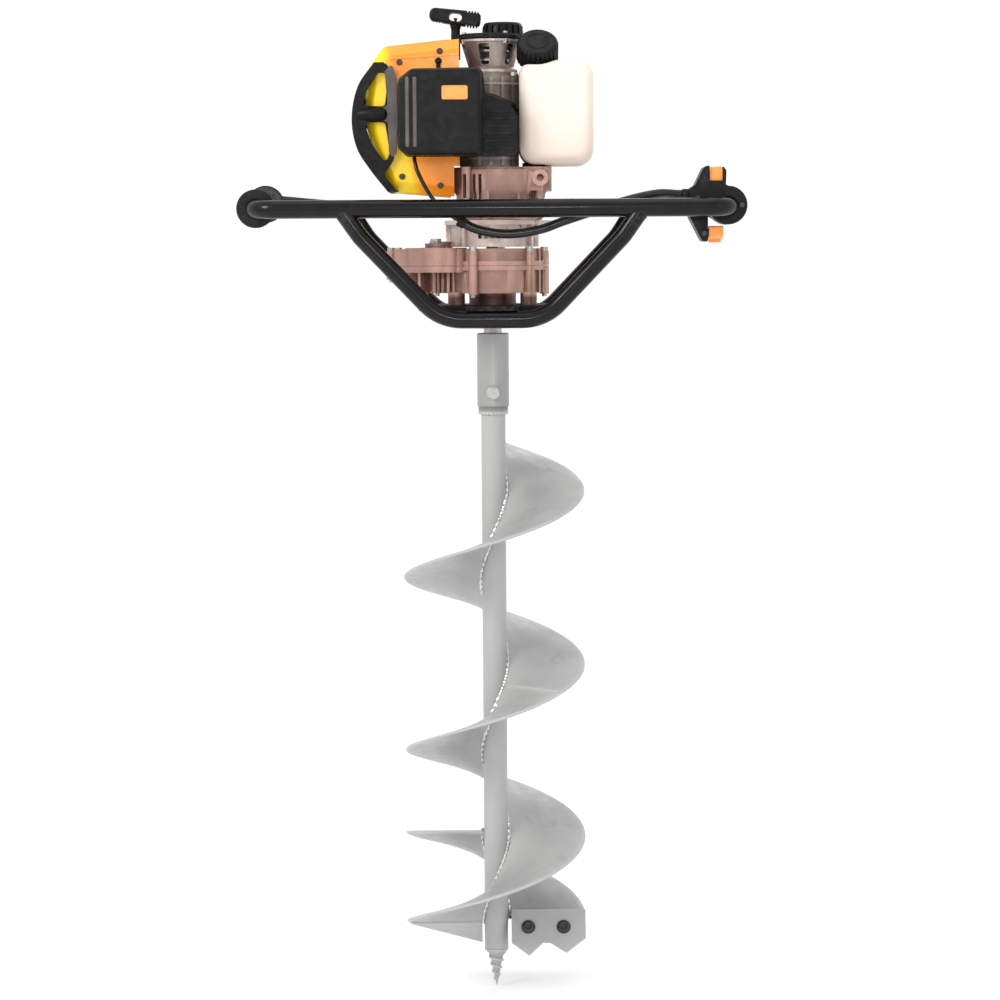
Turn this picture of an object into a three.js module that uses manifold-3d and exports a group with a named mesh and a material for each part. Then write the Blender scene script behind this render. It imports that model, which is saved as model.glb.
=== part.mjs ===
// A petrol ice auger: a two-stroke engine and gearbox held in a tube frame with two hand grips,
// turning a spiral drill with a toothed cutter. Millimetres, +Z up. The origin is on the drill's
// axis at the height of the handle tube. -Y is the front, where the air filter is.

import * as THREE from "three";
import { ConvexGeometry } from "three/addons/geometries/ConvexGeometry.js";
import { mergeVertices } from "three/addons/utils/BufferGeometryUtils.js";
import Module from "manifold-3d";

const wasm = await Module();
wasm.setup();

// ---------------------------------------------------------------- driving dimensions

const GAP = 0.3; // between pieces that touch

// Tube frame
const LOOP_RADIUS = 10; // handle tube
const LOOP_HALF_WIDTH = 257; // axis to the centre of a grip
const LOOP_HALF_DEPTH = 98; // axis to the front and rear runs
const LOOP_BEND = 24;
const REAR_CORNER_RISE = 10; // the grips climb towards the rear
const REAR_RUN_Z = 2;
const GRIP_RADIUS = 21;
const GRIP_HALF_LENGTH = 70;
const VEE_RADIUS = 9.3;
const VEE_BOTTOM_Z = -120;
const VEE_BOTTOM_HALF = 56;
const VEE_KNEE = { x: 142, z: -30 };
const VEE_TOP_X = 163;
const PLATE_THICKNESS = 5;

// Gearbox: two stages with the same tooth counts, the second shaft beside the first
const MODULE = 2;
const PINION_TEETH = 9;
const WHEEL_TEETH = 48;
const PROFILE_SHIFT = 0.3;
const PRESSURE_ANGLE = THREE.MathUtils.degToRad(25);
const TOOTH_THINNING = 0.12;
const SHAFT_SPACING = (MODULE * (PINION_TEETH + WHEEL_TEETH)) / 2;
const CASE_RADIUS = 56;
const CASE_WALL = 3.6;
const CASE_TOP_Z = -43;
const CASE_SPLIT_Z = -62;
const CASE_FLOOR_Z = -92;
const FIRST_STAGE_Z = [-58, -49];
const SECOND_STAGE_Z = [-80, -67];

// Clutch and engine, all on the drill's axis
const NECK_RADIUS = 47;
const NECK_TOP_Z = -12;
const DRUM_RADIUS = 39;
const DRUM_WALL = 3;
const SHOE_TRAVEL = 1;
const FAN_CASE_RADIUS = 55;
const FAN_CASE_X = 6;
const FAN_CASE_TOP_Z = 46;
const FLYWHEEL_RADIUS = 39.5;
const CRANKCASE_RADIUS = 35;
const CRANKCASE_TOP_Z = 150;
const CYLINDER_Z = 106;
const BORE_RADIUS = 20;
const STROKE = 34;
const CYLINDER_END_X = -112;

// Starter
const STARTER_TOP_Z = 205;
const STARTER_DISC_Z = 186;
const ROPE_X = -39;
const ROPE_RADIUS = 1.8;

// Fuel tank
const TANK = { x: [30.5, 112], y: [-52, 52], z: [48, 162] };
const TANK_WALL = 2.5;
const CAP_RADIUS = 23;
const CAP_CENTRE = new THREE.Vector3(51, -30, 173);
const CAP_TILT = Math.PI / 4;

// Drill
const TUBE_RADIUS = 13.5;
const TUBE_TOP_Z = -212;
const TUBE_BOTTOM_Z = -834;
const SLEEVE_RADIUS = 17.75;
const SLEEVE_TOP_Z = -137;
const SLEEVE_BOTTOM_Z = -226;
const SHAFT_RADIUS = 10;
const BOLT_HOLE_Z = -203;
const BOLT_HOLE_RADIUS = 4.4;
const FLIGHT_RADIUS = 101.5;
const FLIGHT_PITCH = 196;
const FLIGHT_THICKNESS = 4;
const FLIGHT_STEPS_PER_TURN = 24;
const MAIN_FLIGHT_END = { angle: Math.PI, z: -803 }; // lower end, on the left
const MAIN_FLIGHT_TURNS = 2.75;
const SECOND_FLIGHT_END = { angle: 0, z: -799 }; // lower end, on the right
const SECOND_FLIGHT_TURNS = 0.5;
const CUTTER_SLOPE = THREE.MathUtils.degToRad(60);
const CUTTER_THICKNESS = 6;
const HOLDER_THICKNESS = 5;
const POINT_Z = -878;

// ---------------------------------------------------------------- materials

const material = (color, roughness, metalness) =>
  new THREE.MeshStandardMaterial({ color, roughness, metalness });

const blackPaint = material(0x262524, 0.32, 0.1);
const blackPlastic = material(0x232323, 0.55, 0);
const rubber = material(0x1f1d1d, 0.8, 0);
const castAluminium = material(0xb79f96, 0.45, 0.85);
const brightAluminium = material(0xc9c6c2, 0.35, 0.9);
const steel = material(0x8c8c8e, 0.35, 0.9);
const castIron = material(0x4a4848, 0.6, 0.8);
const yellowPlastic = material(0xf5a821, 0.38, 0);
const orangePlastic = material(0xee8a35, 0.45, 0);
const tankPlastic = material(0xf6ece2, 0.5, 0);
const drillPaint = material(0xaeaeae, 0.5, 0.3);
const ceramic = material(0xe8e6e0, 0.3, 0);

// ---------------------------------------------------------------- geometry helpers

// A closed surface with shared corners, no flat slivers, and its faces turned outwards.
function closed(geometry) {
  const bare = geometry.clone();
  for (const name of Object.keys(bare.attributes)) {
    if (name !== "position") bare.deleteAttribute(name);
  }
  const welded = mergeVertices(bare, 1e-3);
  const corner = welded.getAttribute("position");
  const order = welded.index.array;
  const kept = [];
  const [a, b, c] = [new THREE.Vector3(), new THREE.Vector3(), new THREE.Vector3()];
  let volume = 0;
  for (let i = 0; i < order.length; i += 3) {
    const [p, q, r] = [order[i], order[i + 1], order[i + 2]];
    if (p === q || q === r || r === p) continue;
    kept.push([p, q, r]);
    a.fromBufferAttribute(corner, p);
    b.fromBufferAttribute(corner, q);
    c.fromBufferAttribute(corner, r);
    volume += a.dot(b.cross(c));
  }
  const outward = volume < 0 ? kept.map(([p, q, r]) => [p, r, q]) : kept;
  welded.setIndex(outward.flat());
  return welded;
}

function toManifold(geometry) {
  const surface = closed(geometry);
  const vertProperties = new Float32Array(surface.getAttribute("position").array);
  const triVerts = new Uint32Array(surface.index.array);
  return new wasm.Manifold(new wasm.Mesh({ numProp: 3, vertProperties, triVerts }));
}

function fromManifold(manifold) {
  const { vertProperties, triVerts } = manifold.getMesh();
  const geometry = new THREE.BufferGeometry();
  geometry.setAttribute("position", new THREE.BufferAttribute(vertProperties, 3));
  geometry.setIndex(new THREE.BufferAttribute(triVerts, 1));
  return geometry;
}

function join(...geometries) {
  return fromManifold(geometries.map(toManifold).reduce((whole, part) => whole.add(part)));
}

function cut(body, ...tools) {
  const rest = tools.map(toManifold).reduce((whole, tool) => whole.subtract(tool), toManifold(body));
  return fromManifold(rest);
}

const at = (x, y, z) => new THREE.Vector3(x, y, z);

function box([x0, x1], [y0, y1], [z0, z1]) {
  const geometry = new THREE.BoxGeometry(x1 - x0, y1 - y0, z1 - z0);
  return geometry.translate((x0 + x1) / 2, (y0 + y1) / 2, (z0 + z1) / 2);
}

// A round bar, or a cone when endRadius differs, from one point to another.
function rod(radius, from, to, sides = 16, endRadius = radius) {
  const direction = to.clone().sub(from);
  const geometry = new THREE.CylinderGeometry(endRadius, radius, direction.length(), sides);
  const turn = new THREE.Quaternion().setFromUnitVectors(at(0, 1, 0), direction.normalize());
  geometry.applyQuaternion(turn);
  const middle = from.clone().add(to).multiplyScalar(0.5);
  return geometry.translate(middle.x, middle.y, middle.z);
}

// An upright round bar on the line (x, y).
const post = (radius, [z0, z1], sides = 16, x = 0, y = 0) =>
  rod(radius, at(x, y, z0), at(x, y, z1), sides);

// A profile of [radius, height] points turned about the Z axis.
function turned(profile, segments = 20) {
  const points = profile.map(([radius, height]) => new THREE.Vector2(radius, height));
  return new THREE.LatheGeometry(points, segments).rotateX(Math.PI / 2);
}

// A turned ring whose section is the given corners.
const turnedRing = (corners, segments) => turned([...corners, corners[0]], segments);

const outline = (points) => new THREE.Shape(points.map(([u, v]) => new THREE.Vector2(u, v)));

function extruded(shape, length, options = {}) {
  const settings = { depth: length, bevelEnabled: false, curveSegments: 6, ...options };
  return new THREE.ExtrudeGeometry(shape, settings);
}

// Extrusions of an outline drawn in XY, XZ or YZ between two levels of the third axis.
const alongZ = (shape, [z0, z1]) => extruded(shape, z1 - z0).translate(0, 0, z0);
const alongY = (shape, [y0, y1]) =>
  extruded(shape, y1 - y0).rotateX(Math.PI / 2).translate(0, y1, 0);
const yzBasis = new THREE.Matrix4().makeBasis(at(0, 1, 0), at(0, 0, 1), at(1, 0, 0));
const alongX = (shape, [x0, x1]) =>
  extruded(shape, x1 - x0).applyMatrix4(yzBasis).translate(x0, 0, 0);

// A path with a section at each of its stations, so straight runs take two sections only.
class StationPath extends THREE.Curve {
  constructor(stations) {
    super();
    this.stations = stations;
  }
  index(u) {
    return Math.round(u * (this.stations.length - 1));
  }
  getPointAt(u, target = at(0, 0, 0)) {
    return target.copy(this.stations[this.index(u)]);
  }
  getTangentAt(u, target = at(0, 0, 0)) {
    const i = this.index(u);
    const before = this.stations[Math.max(i - 1, 0)];
    const after = this.stations[Math.min(i + 1, this.stations.length - 1)];
    return target.subVectors(after, before).normalize();
  }
  getSpacedPoints() {
    return this.stations;
  }
}

// The stations of a line through corner points, each corner rounded to a bend radius.
function bentStations(corners, bendRadius, stepsPerBend) {
  const stations = [corners[0].clone()];
  for (let i = 1; i < corners.length - 1; i += 1) {
    const corner = corners[i];
    const back = corners[i - 1].clone().sub(corner).normalize();
    const ahead = corners[i + 1].clone().sub(corner).normalize();
    const halfAngle = back.angleTo(ahead) / 2;
    const inset = bendRadius / Math.tan(halfAngle);
    const start = corner.clone().addScaledVector(back, inset);
    const end = corner.clone().addScaledVector(ahead, inset);
    const toCentre = back.clone().add(ahead).normalize();
    const centre = corner.clone().addScaledVector(toCentre, bendRadius / Math.sin(halfAngle));
    const from = start.sub(centre);
    const axis = from.clone().cross(end.sub(centre)).normalize();
    const sweep = Math.PI - 2 * halfAngle;
    for (let step = 0; step <= stepsPerBend; step += 1) {
      const arm = from.clone().applyAxisAngle(axis, (sweep * step) / stepsPerBend);
      stations.push(arm.add(centre));
    }
  }
  stations.push(corners[corners.length - 1].clone());
  return stations;
}

function regularPolygon(radius, sides) {
  const points = [];
  for (let i = 0; i < sides; i += 1) {
    const angle = (2 * Math.PI * i) / sides;
    points.push([radius * Math.cos(angle), radius * Math.sin(angle)]);
  }
  return outline(points);
}

function tube(stations, radius, sides) {
  const extrudePath = new StationPath(stations);
  return new THREE.ExtrudeGeometry(regularPolygon(radius, sides), {
    steps: stations.length - 1,
    extrudePath,
  });
}

// A winding path up the Z axis. Its sections stand upright and point away from the axis.
class WindingPath extends THREE.Curve {
  constructor(end, pitch, turns, steps) {
    super();
    Object.assign(this, { end, pitch, turns, steps });
  }
  angle(i) {
    return this.end.angle + (2 * Math.PI * this.turns * i) / this.steps;
  }
  getSpacedPoints() {
    const points = [];
    for (let i = 0; i <= this.steps; i += 1) {
      points.push(at(0, 0, this.end.z + (this.pitch * this.turns * i) / this.steps));
    }
    return points;
  }
  computeFrenetFrames() {
    const frames = { tangents: [], normals: [], binormals: [] };
    for (let i = 0; i <= this.steps; i += 1) {
      const angle = this.angle(i);
      frames.normals.push(at(Math.cos(angle), Math.sin(angle), 0));
      frames.binormals.push(at(0, 0, 1));
      frames.tangents.push(at(-Math.sin(angle), Math.cos(angle), 0));
    }
    return frames;
  }
}

function flight(end, turns) {
  const inner = TUBE_RADIUS + 2 * GAP;
  const half = FLIGHT_THICKNESS / 2;
  const section = outline([
    [inner, -half],
    [FLIGHT_RADIUS, -half],
    [FLIGHT_RADIUS, half],
    [inner, half],
  ]);
  const steps = Math.round(turns * FLIGHT_STEPS_PER_TURN);
  const extrudePath = new WindingPath(end, FLIGHT_PITCH, turns, steps);
  return new THREE.ExtrudeGeometry(section, { steps, extrudePath });
}

// ---------------------------------------------------------------- gear teeth

const involute = (angle) => Math.tan(angle) - angle;

// Half the angle that a tooth covers at a radius.
function halfToothAngle(teeth, shift, radius) {
  const pitchRadius = (MODULE * teeth) / 2;
  const baseRadius = pitchRadius * Math.cos(PRESSURE_ANGLE);
  const pressure = Math.acos(Math.min(1, baseRadius / radius));
  const atPitch = Math.PI / 2 / teeth + (2 * shift * Math.tan(PRESSURE_ANGLE)) / teeth;
  const thinning = TOOTH_THINNING / pitchRadius;
  return atPitch - thinning + involute(PRESSURE_ANGLE) - involute(pressure);
}

// A spur gear's outline. The first tooth, or the first gap, points along firstAngle.
function gearOutline(teeth, shift, flankSteps, firstAngle, gapFirst) {
  const pitchRadius = (MODULE * teeth) / 2;
  const tipRadius = pitchRadius + MODULE * (0.9 + shift);
  const rootRadius = pitchRadius - MODULE * (1.25 - shift);
  const points = [];
  for (let tooth = 0; tooth < teeth; tooth += 1) {
    const middle = firstAngle + (2 * Math.PI * (tooth + (gapFirst ? 0.5 : 0))) / teeth;
    for (let side = -1; side <= 1; side += 2) {
      for (let step = 0; step <= flankSteps; step += 1) {
        const rise = side < 0 ? step : flankSteps - step;
        const radius = rootRadius + ((tipRadius - rootRadius) * rise) / flankSteps;
        const angle = middle + side * halfToothAngle(teeth, shift, radius);
        points.push([radius * Math.cos(angle), radius * Math.sin(angle)]);
      }
    }
  }
  return outline(points);
}

const pinion = (firstAngle, levels) =>
  alongZ(gearOutline(PINION_TEETH, PROFILE_SHIFT, 3, firstAngle, false), levels);
const wheel = (firstAngle, levels) =>
  alongZ(gearOutline(WHEEL_TEETH, -PROFILE_SHIFT, 1, firstAngle, true), levels);

// ---------------------------------------------------------------- tube frame

function gripHeight(y) {
  return (REAR_CORNER_RISE * (y + LOOP_HALF_DEPTH)) / (2 * LOOP_HALF_DEPTH);
}

function frontTube() {
  const end = -GAP / 2;
  return tube(
    bentStations(
      [
        at(-LOOP_HALF_WIDTH, end, gripHeight(end)),
        at(-LOOP_HALF_WIDTH, -LOOP_HALF_DEPTH, 0),
        at(LOOP_HALF_WIDTH, -LOOP_HALF_DEPTH, 0),
        at(LOOP_HALF_WIDTH, end, gripHeight(end)),
      ],
      LOOP_BEND,
      4
    ),
    LOOP_RADIUS,
    10
  );
}

function rearTube() {
  const end = GAP / 2;
  const dropX = 175; // where the rear run has come back down
  return tube(
    bentStations(
      [
        at(-LOOP_HALF_WIDTH, end, gripHeight(end)),
        at(-LOOP_HALF_WIDTH, LOOP_HALF_DEPTH, REAR_CORNER_RISE),
        at(-dropX, LOOP_HALF_DEPTH, REAR_RUN_Z),
        at(dropX, LOOP_HALF_DEPTH, REAR_RUN_Z),
        at(LOOP_HALF_WIDTH, LOOP_HALF_DEPTH, REAR_CORNER_RISE),
        at(LOOP_HALF_WIDTH, end, gripHeight(end)),
      ],
      LOOP_BEND,
      3
    ),
    LOOP_RADIUS,
    10
  );
}

// A rubber sleeve over the tube, with a collar at each end.
function grip(x, from, to) {
  const length = to - from;
  const inner = (LOOP_RADIUS + GAP) / Math.cos(Math.PI / 16);
  const collar = 5;
  const sleeve = turnedRing(
    [
      [inner, 0],
      [GRIP_RADIUS, 0],
      [GRIP_RADIUS, collar],
      [GRIP_RADIUS - 1.5, collar + 1.5],
      [GRIP_RADIUS - 1.5, length - collar - 1.5],
      [GRIP_RADIUS, length - collar],
      [GRIP_RADIUS, length],
      [inner, length],
    ],
    16
  );
  const climb = Math.atan2(REAR_CORNER_RISE, 2 * LOOP_HALF_DEPTH);
  sleeve.rotateX(-Math.PI / 2 + climb);
  return sleeve.translate(x, from, gripHeight(from));
}

// A vee of tube that hangs under one run of the loop and carries the gearbox plate.
function veeFrame(y, runZ) {
  const legs = tube(
    bentStations(
      [
        at(-VEE_TOP_X, y, 0),
        at(-VEE_KNEE.x, y, VEE_KNEE.z),
        at(-VEE_BOTTOM_HALF, y, VEE_BOTTOM_Z),
        at(VEE_BOTTOM_HALF, y, VEE_BOTTOM_Z),
        at(VEE_KNEE.x, y, VEE_KNEE.z),
        at(VEE_TOP_X, y, 0),
      ],
      55,
      3
    ),
    VEE_RADIUS,
    10
  );
  const run = rod(LOOP_RADIUS + 2 * GAP, at(-200, y, runZ), at(200, y, runZ), 10);
  const above = box([-200, 200], [y - 20, y + 20], [runZ, runZ + 30]);
  return cut(legs, run, above);
}

function mountingPlate() {
  const z0 = VEE_BOTTOM_Z + VEE_RADIUS + GAP;
  const reach = LOOP_HALF_DEPTH + 6; // two tongues lie on the vees
  const between = LOOP_HALF_DEPTH - VEE_RADIUS - 3;
  const plate = outline([
    [-28, -reach],
    [28, -reach],
    [28, -between],
    [66, -between],
    [66, between],
    [28, between],
    [28, reach],
    [-28, reach],
    [-28, between],
    [-80, between],
    [-80, -between],
    [-28, -between],
  ]);
  const levels = [z0, z0 + PLATE_THICKNESS];
  return cut(alongZ(plate, levels), post(27, [z0 - 5, z0 + 10], 20));
}

// ---------------------------------------------------------------- gearbox

const plateTopZ = VEE_BOTTOM_Z + VEE_RADIUS + GAP + PLATE_THICKNESS;
const FRONT_LOBE = { x: -62, y: -27, radius: 34 }; // rounded bulge at the front left
const FOOT_RADIUS = 9;
const FEET = [
  [-40, -38],
  [40, -38],
  [-40, 38],
  [40, 38],
];

function gearboxLowerCase() {
  const floor = CASE_FLOOR_Z;
  const split = CASE_SPLIT_Z;
  const outer = join(
    post(CASE_RADIUS, [floor, split], 24),
    post(CASE_RADIUS - 1, [split - 4, split], 24, -SHAFT_SPACING),
    post(FRONT_LOBE.radius, [split - 6, split], 16, FRONT_LOBE.x, FRONT_LOBE.y),
    post(24, [floor, split - 2], 16, -SHAFT_SPACING),
    post(26, [plateTopZ - 24, floor + 1], 16),
    ...FEET.map(([x, y]) => post(FOOT_RADIUS, [plateTopZ + GAP, floor + 1], 8, x, y))
  );
  return cut(
    outer,
    post(CASE_RADIUS - CASE_WALL, [floor + CASE_WALL, split + 1], 20),
    post(20, [floor + CASE_WALL, split + 1], 14, -SHAFT_SPACING),
    post(6.4, [floor - 1, floor + 8], 12, -SHAFT_SPACING),
    post(20.6, [plateTopZ - 12, floor + 5], 16),
    post(SHAFT_RADIUS + 1, [plateTopZ - 30, floor], 16)
  );
}

function gearboxUpperCase() {
  const split = CASE_SPLIT_Z + GAP;
  const top = CASE_TOP_Z;
  const outer = join(
    post(CASE_RADIUS, [split, top], 24),
    post(CASE_RADIUS - 1, [split, top], 24, -SHAFT_SPACING),
    post(FRONT_LOBE.radius, [split, top + 1], 16, FRONT_LOBE.x, FRONT_LOBE.y),
    post(13, [top - 1, top + 8], 16, -SHAFT_SPACING)
  );
  return cut(
    outer,
    post(CASE_RADIUS - CASE_WALL, [split - 1, top - CASE_WALL], 20),
    post(CASE_RADIUS - 1 - CASE_WALL, [split - 1, top - CASE_WALL], 24, -SHAFT_SPACING),
    post(9, [top - 10, top + 1], 16),
    post(6.4, [top - 5, top + 4], 12, -SHAFT_SPACING)
  );
}

function outputBearing() {
  return turnedRing(
    [
      [SHAFT_RADIUS + GAP, plateTopZ - 11.5],
      [20, plateTopZ - 11.5],
      [20, plateTopZ + 8],
      [SHAFT_RADIUS + GAP, plateTopZ + 8],
    ],
    16
  );
}

function layshaft() {
  const x = -SHAFT_SPACING;
  const body = join(
    wheel(0, FIRST_STAGE_Z),
    pinion(0, [SECOND_STAGE_Z[0] - 0.5, FIRST_STAGE_Z[0] + 1]),
    post(6, [CASE_FLOOR_Z + 1, CASE_TOP_Z + 3.5], 12)
  );
  return body.translate(x, 0, 0);
}

function outputGear() {
  const bore = (SHAFT_RADIUS + GAP) / Math.cos(Math.PI / 16);
  const [z0, z1] = SECOND_STAGE_Z;
  return cut(wheel(Math.PI, SECOND_STAGE_Z), post(bore, [z0 - 1, z1 + 1], 16));
}

function outputShaft() {
  const shaft = post(SHAFT_RADIUS, [TUBE_TOP_Z + GAP, FIRST_STAGE_Z[0] - 4], 16);
  return cut(shaft, crossHole());
}

// ---------------------------------------------------------------- clutch

const DRUM_FLOOR_Z = NECK_TOP_Z - 28;

function clutchHousing() {
  const base = CASE_TOP_Z + GAP + 1;
  const top = NECK_TOP_Z;
  const lug = outline([
    [20, -32],
    [66, -14],
    [66, 14],
    [20, 32],
  ]);
  const shell = join(
    turnedRing(
      [
        [NECK_RADIUS - 3.5, base + 0.5],
        [NECK_RADIUS, base + 0.5],
        [NECK_RADIUS, top - 5],
        [FAN_CASE_RADIUS - 2, top - 5],
        [FAN_CASE_RADIUS - 2, top],
        [NECK_RADIUS - 3.5, top],
      ],
      24
    ),
    alongZ(lug, [top - 5, top])
  );
  const bossRelief = post(13 + GAP, [base - 5, base + 8], 16, -SHAFT_SPACING);
  return cut(shell, post(NECK_RADIUS - 3.5, [base - 5, top + 5], 24), bossRelief);
}

function clutchDrum() {
  const floor = DRUM_FLOOR_Z;
  const cup = turned(
    [
      [0, floor],
      [DRUM_RADIUS, floor],
      [DRUM_RADIUS, NECK_TOP_Z - 2],
      [DRUM_RADIUS - DRUM_WALL, NECK_TOP_Z - 2],
      [DRUM_RADIUS - DRUM_WALL, floor + 3],
      [0, floor + 3],
    ],
    20
  );
  const shaft = post(6.8, [FIRST_STAGE_Z[0] - 1, floor + 1], 12);
  return join(cup, shaft, pinion(Math.PI, FIRST_STAGE_Z));
}

// One of the two friction shoes, a half ring that swings out against the drum.
function clutchShoe(side) {
  const outer = DRUM_RADIUS - DRUM_WALL - SHOE_TRAVEL - 1;
  const inner = 15;
  const margin = THREE.MathUtils.degToRad(9);
  const shape = new THREE.Shape();
  shape.absarc(0, 0, outer, margin, Math.PI - margin, false);
  shape.absarc(0, 0, inner, Math.PI - 2 * margin, 2 * margin, true);
  const half = alongZ(shape, [DRUM_FLOOR_Z + 5, NECK_TOP_Z - 3]);
  return side > 0 ? half : half.rotateZ(Math.PI);
}

// ---------------------------------------------------------------- engine

const flywheelZ = [-4, 34];

// A round casing, its lower half drawn in, with a bolt lug towards the tank.
function fanCase() {
  const bottom = NECK_TOP_Z + GAP;
  const shoulder = 20;
  const top = FAN_CASE_TOP_Z;
  const wall = 3;
  const shell = turned(
    [
      [0, bottom],
      [FAN_CASE_RADIUS - 5, bottom],
      [FAN_CASE_RADIUS - 3, shoulder - 3],
      [FAN_CASE_RADIUS, shoulder],
      [FAN_CASE_RADIUS, top],
      [0, top],
    ],
    24
  ).translate(FAN_CASE_X, 0, 0);
  const lug = outline([
    [30, -44],
    [56, -44],
    [66, -30],
    [66, 20],
    [30, 30],
  ]);
  const room = FAN_CASE_RADIUS - 5 - wall;
  return cut(
    join(shell, alongZ(lug, [shoulder, top])),
    post(room, [bottom + wall, top - wall], 20, FAN_CASE_X),
    post(20, [bottom - 5, bottom + wall + 1], 20),
    post(20, [top - wall - 1, top + 5], 20),
    box([-60, -30], [-26, 26], [bottom + 10, top - 8]),
    rod(4, at(53, -50, 34), at(53, -30, 34), 10)
  );
}

// A barrel with a flat side for the tank and a square face for the cylinder.
function crankcase() {
  const bottom = FAN_CASE_TOP_Z + GAP;
  const top = CRANKCASE_TOP_Z;
  const face = -40;
  const body = join(
    post(CRANKCASE_RADIUS, [bottom, top - 4], 20),
    post(CRANKCASE_RADIUS - 6, [top - 5, top], 20),
    box([face, -15], [-30, 30], [CYLINDER_Z - 30, CYLINDER_Z + 30])
  );
  return cut(
    body,
    post(27, [CYLINDER_Z - 20, CYLINDER_Z + 20], 20),
    post(8.6, [bottom - 5, top + 5], 14),
    rod(BORE_RADIUS, at(face - 5, 0, CYLINDER_Z), at(0, 0, CYLINDER_Z), 16),
    box([TANK.x[0] - GAP, 60], [-50, 50], [bottom - 5, top + 5])
  );
}

function finnedCylinder() {
  const start = -40 - GAP;
  const finPitch = 12;
  const finThickness = 3;
  const fins = [];
  for (let x = start - 14; x > CYLINDER_END_X + finThickness; x -= finPitch) {
    fins.push(box([x - finThickness, x], [-32, 32], [CYLINDER_Z - 33, CYLINDER_Z + 33]));
  }
  const barrel = join(
    rod(26, at(start, 0, CYLINDER_Z), at(CYLINDER_END_X, 0, CYLINDER_Z), 12),
    box([start - 5, start], [-30, 30], [CYLINDER_Z - 30, CYLINDER_Z + 30]),
    box([-78, -58], [-34, 34], [CYLINDER_Z - 11, CYLINDER_Z + 11]),
    ...fins
  );
  return cut(
    barrel,
    rod(BORE_RADIUS, at(start + 5, 0, CYLINDER_Z), at(-99, 0, CYLINDER_Z), 16),
    rod(BORE_RADIUS - 1, at(-98, 0, CYLINDER_Z), at(-104, 0, CYLINDER_Z), 12, 8),
    rod(6.4, at(-100, 0, CYLINDER_Z), at(-120, 0, CYLINDER_Z), 12),
    rod(8, at(-68, -40, CYLINDER_Z), at(-68, 40, CYLINDER_Z), 10)
  );
}

// The piston at the top of its stroke, open towards the crank, with its pin bore.
function piston() {
  const crown = -97;
  const skirt = -64;
  const body = cut(
    rod(BORE_RADIUS - 0.4, at(crown, 0, CYLINDER_Z), at(skirt, 0, CYLINDER_Z), 16),
    rod(16.5, at(crown + 5, 0, CYLINDER_Z), at(skirt + 5, 0, CYLINDER_Z), 12)
  );
  return cut(body, rod(4.5, at(-79, -25, CYLINDER_Z), at(-79, 25, CYLINDER_Z), 10));
}

function crankshaft() {
  const webRadius = 25;
  const half = 7; // half the gap between the webs
  const web = 7;
  const throwX = -STROKE / 2;
  return join(
    post(8, [NECK_TOP_Z - 22, CYLINDER_Z - half - 1], 14),
    post(8, [CYLINDER_Z + half + 1, CRANKCASE_TOP_Z + 10], 14),
    post(webRadius, [CYLINDER_Z - half - web, CYLINDER_Z - half], 20),
    post(webRadius, [CYLINDER_Z + half, CYLINDER_Z + half + web], 20),
    post(6, [CYLINDER_Z - half - 1, CYLINDER_Z + half + 1], 12, throwX),
    post(12.5, [DRUM_FLOOR_Z + 6, NECK_TOP_Z - 4], 6)
  );
}

function flywheel() {
  const [z0, z1] = flywheelZ;
  const blades = 8;
  const vanes = [];
  for (let i = 0; i < blades; i += 1) {
    const vane = box([24, FLYWHEEL_RADIUS], [-1.5, 1.5], [z1 - 17, z1]);
    vanes.push(vane.rotateZ((2 * Math.PI * i) / blades));
  }
  return cut(
    join(post(FLYWHEEL_RADIUS, [z0, z0 + 22], 20), post(18, [z0, z1], 12), ...vanes),
    post(8.5, [z0 - 5, z1 + 5], 14)
  );
}

function ignitionCoil() {
  const near = FLYWHEEL_RADIUS + 1;
  return join(
    box([-6, 14], [near, near + 4.5], [-2, 6]),
    box([-3, 11], [near, near + 4.5], [5, 22])
  );
}

const SHROUD_OUTLINE = [
  [0, 190],
  [-118, 178],
  [-136, 152],
  [-140, 100],
  [-124, 46],
  [-110, 19],
  [0, 10],
];

// The shroud's outer or inner form: the outline with its front and rear edges chamfered.
function shroudForm(inset, frontY, rearY) {
  const chamfer = 13;
  return new THREE.ExtrudeGeometry(outline(SHROUD_OUTLINE), {
    depth: rearY - frontY - 2 * inset - 2 * chamfer,
    bevelThickness: chamfer,
    bevelSize: chamfer,
    bevelOffset: -chamfer - inset,
    bevelSegments: 1,
  })
    .rotateX(Math.PI / 2)
    .translate(0, rearY - inset - chamfer, 0);
}

function engineShroud() {
  const [front, rear] = [-43, 46];
  const opening = -46;
  const slots = [];
  for (let z = 70; z <= 142; z += 12) {
    if (Math.abs(z - CYLINDER_Z) > 15) slots.push(box([-150, -120], [-24, 24], [z - 2.5, z + 2.5]));
  }
  return cut(
    shroudForm(0, front, rear),
    shroudForm(3, front, rear),
    box([opening, 0], [-100, 100], [0, 200]),
    post(FAN_CASE_RADIUS + 1, [NECK_TOP_Z, FAN_CASE_TOP_Z + 1], 24, FAN_CASE_X),
    rod(13, at(-150, 0, CYLINDER_Z), at(-130, 0, CYLINDER_Z), 16),
    box([-89, -47], [-60, -30], [CYLINDER_Z - 26, CYLINDER_Z + 26]),
    box([-84, -52], [30, 60], [CYLINDER_Z - 16, CYLINDER_Z + 16]),
    ...slots
  );
}

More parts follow.
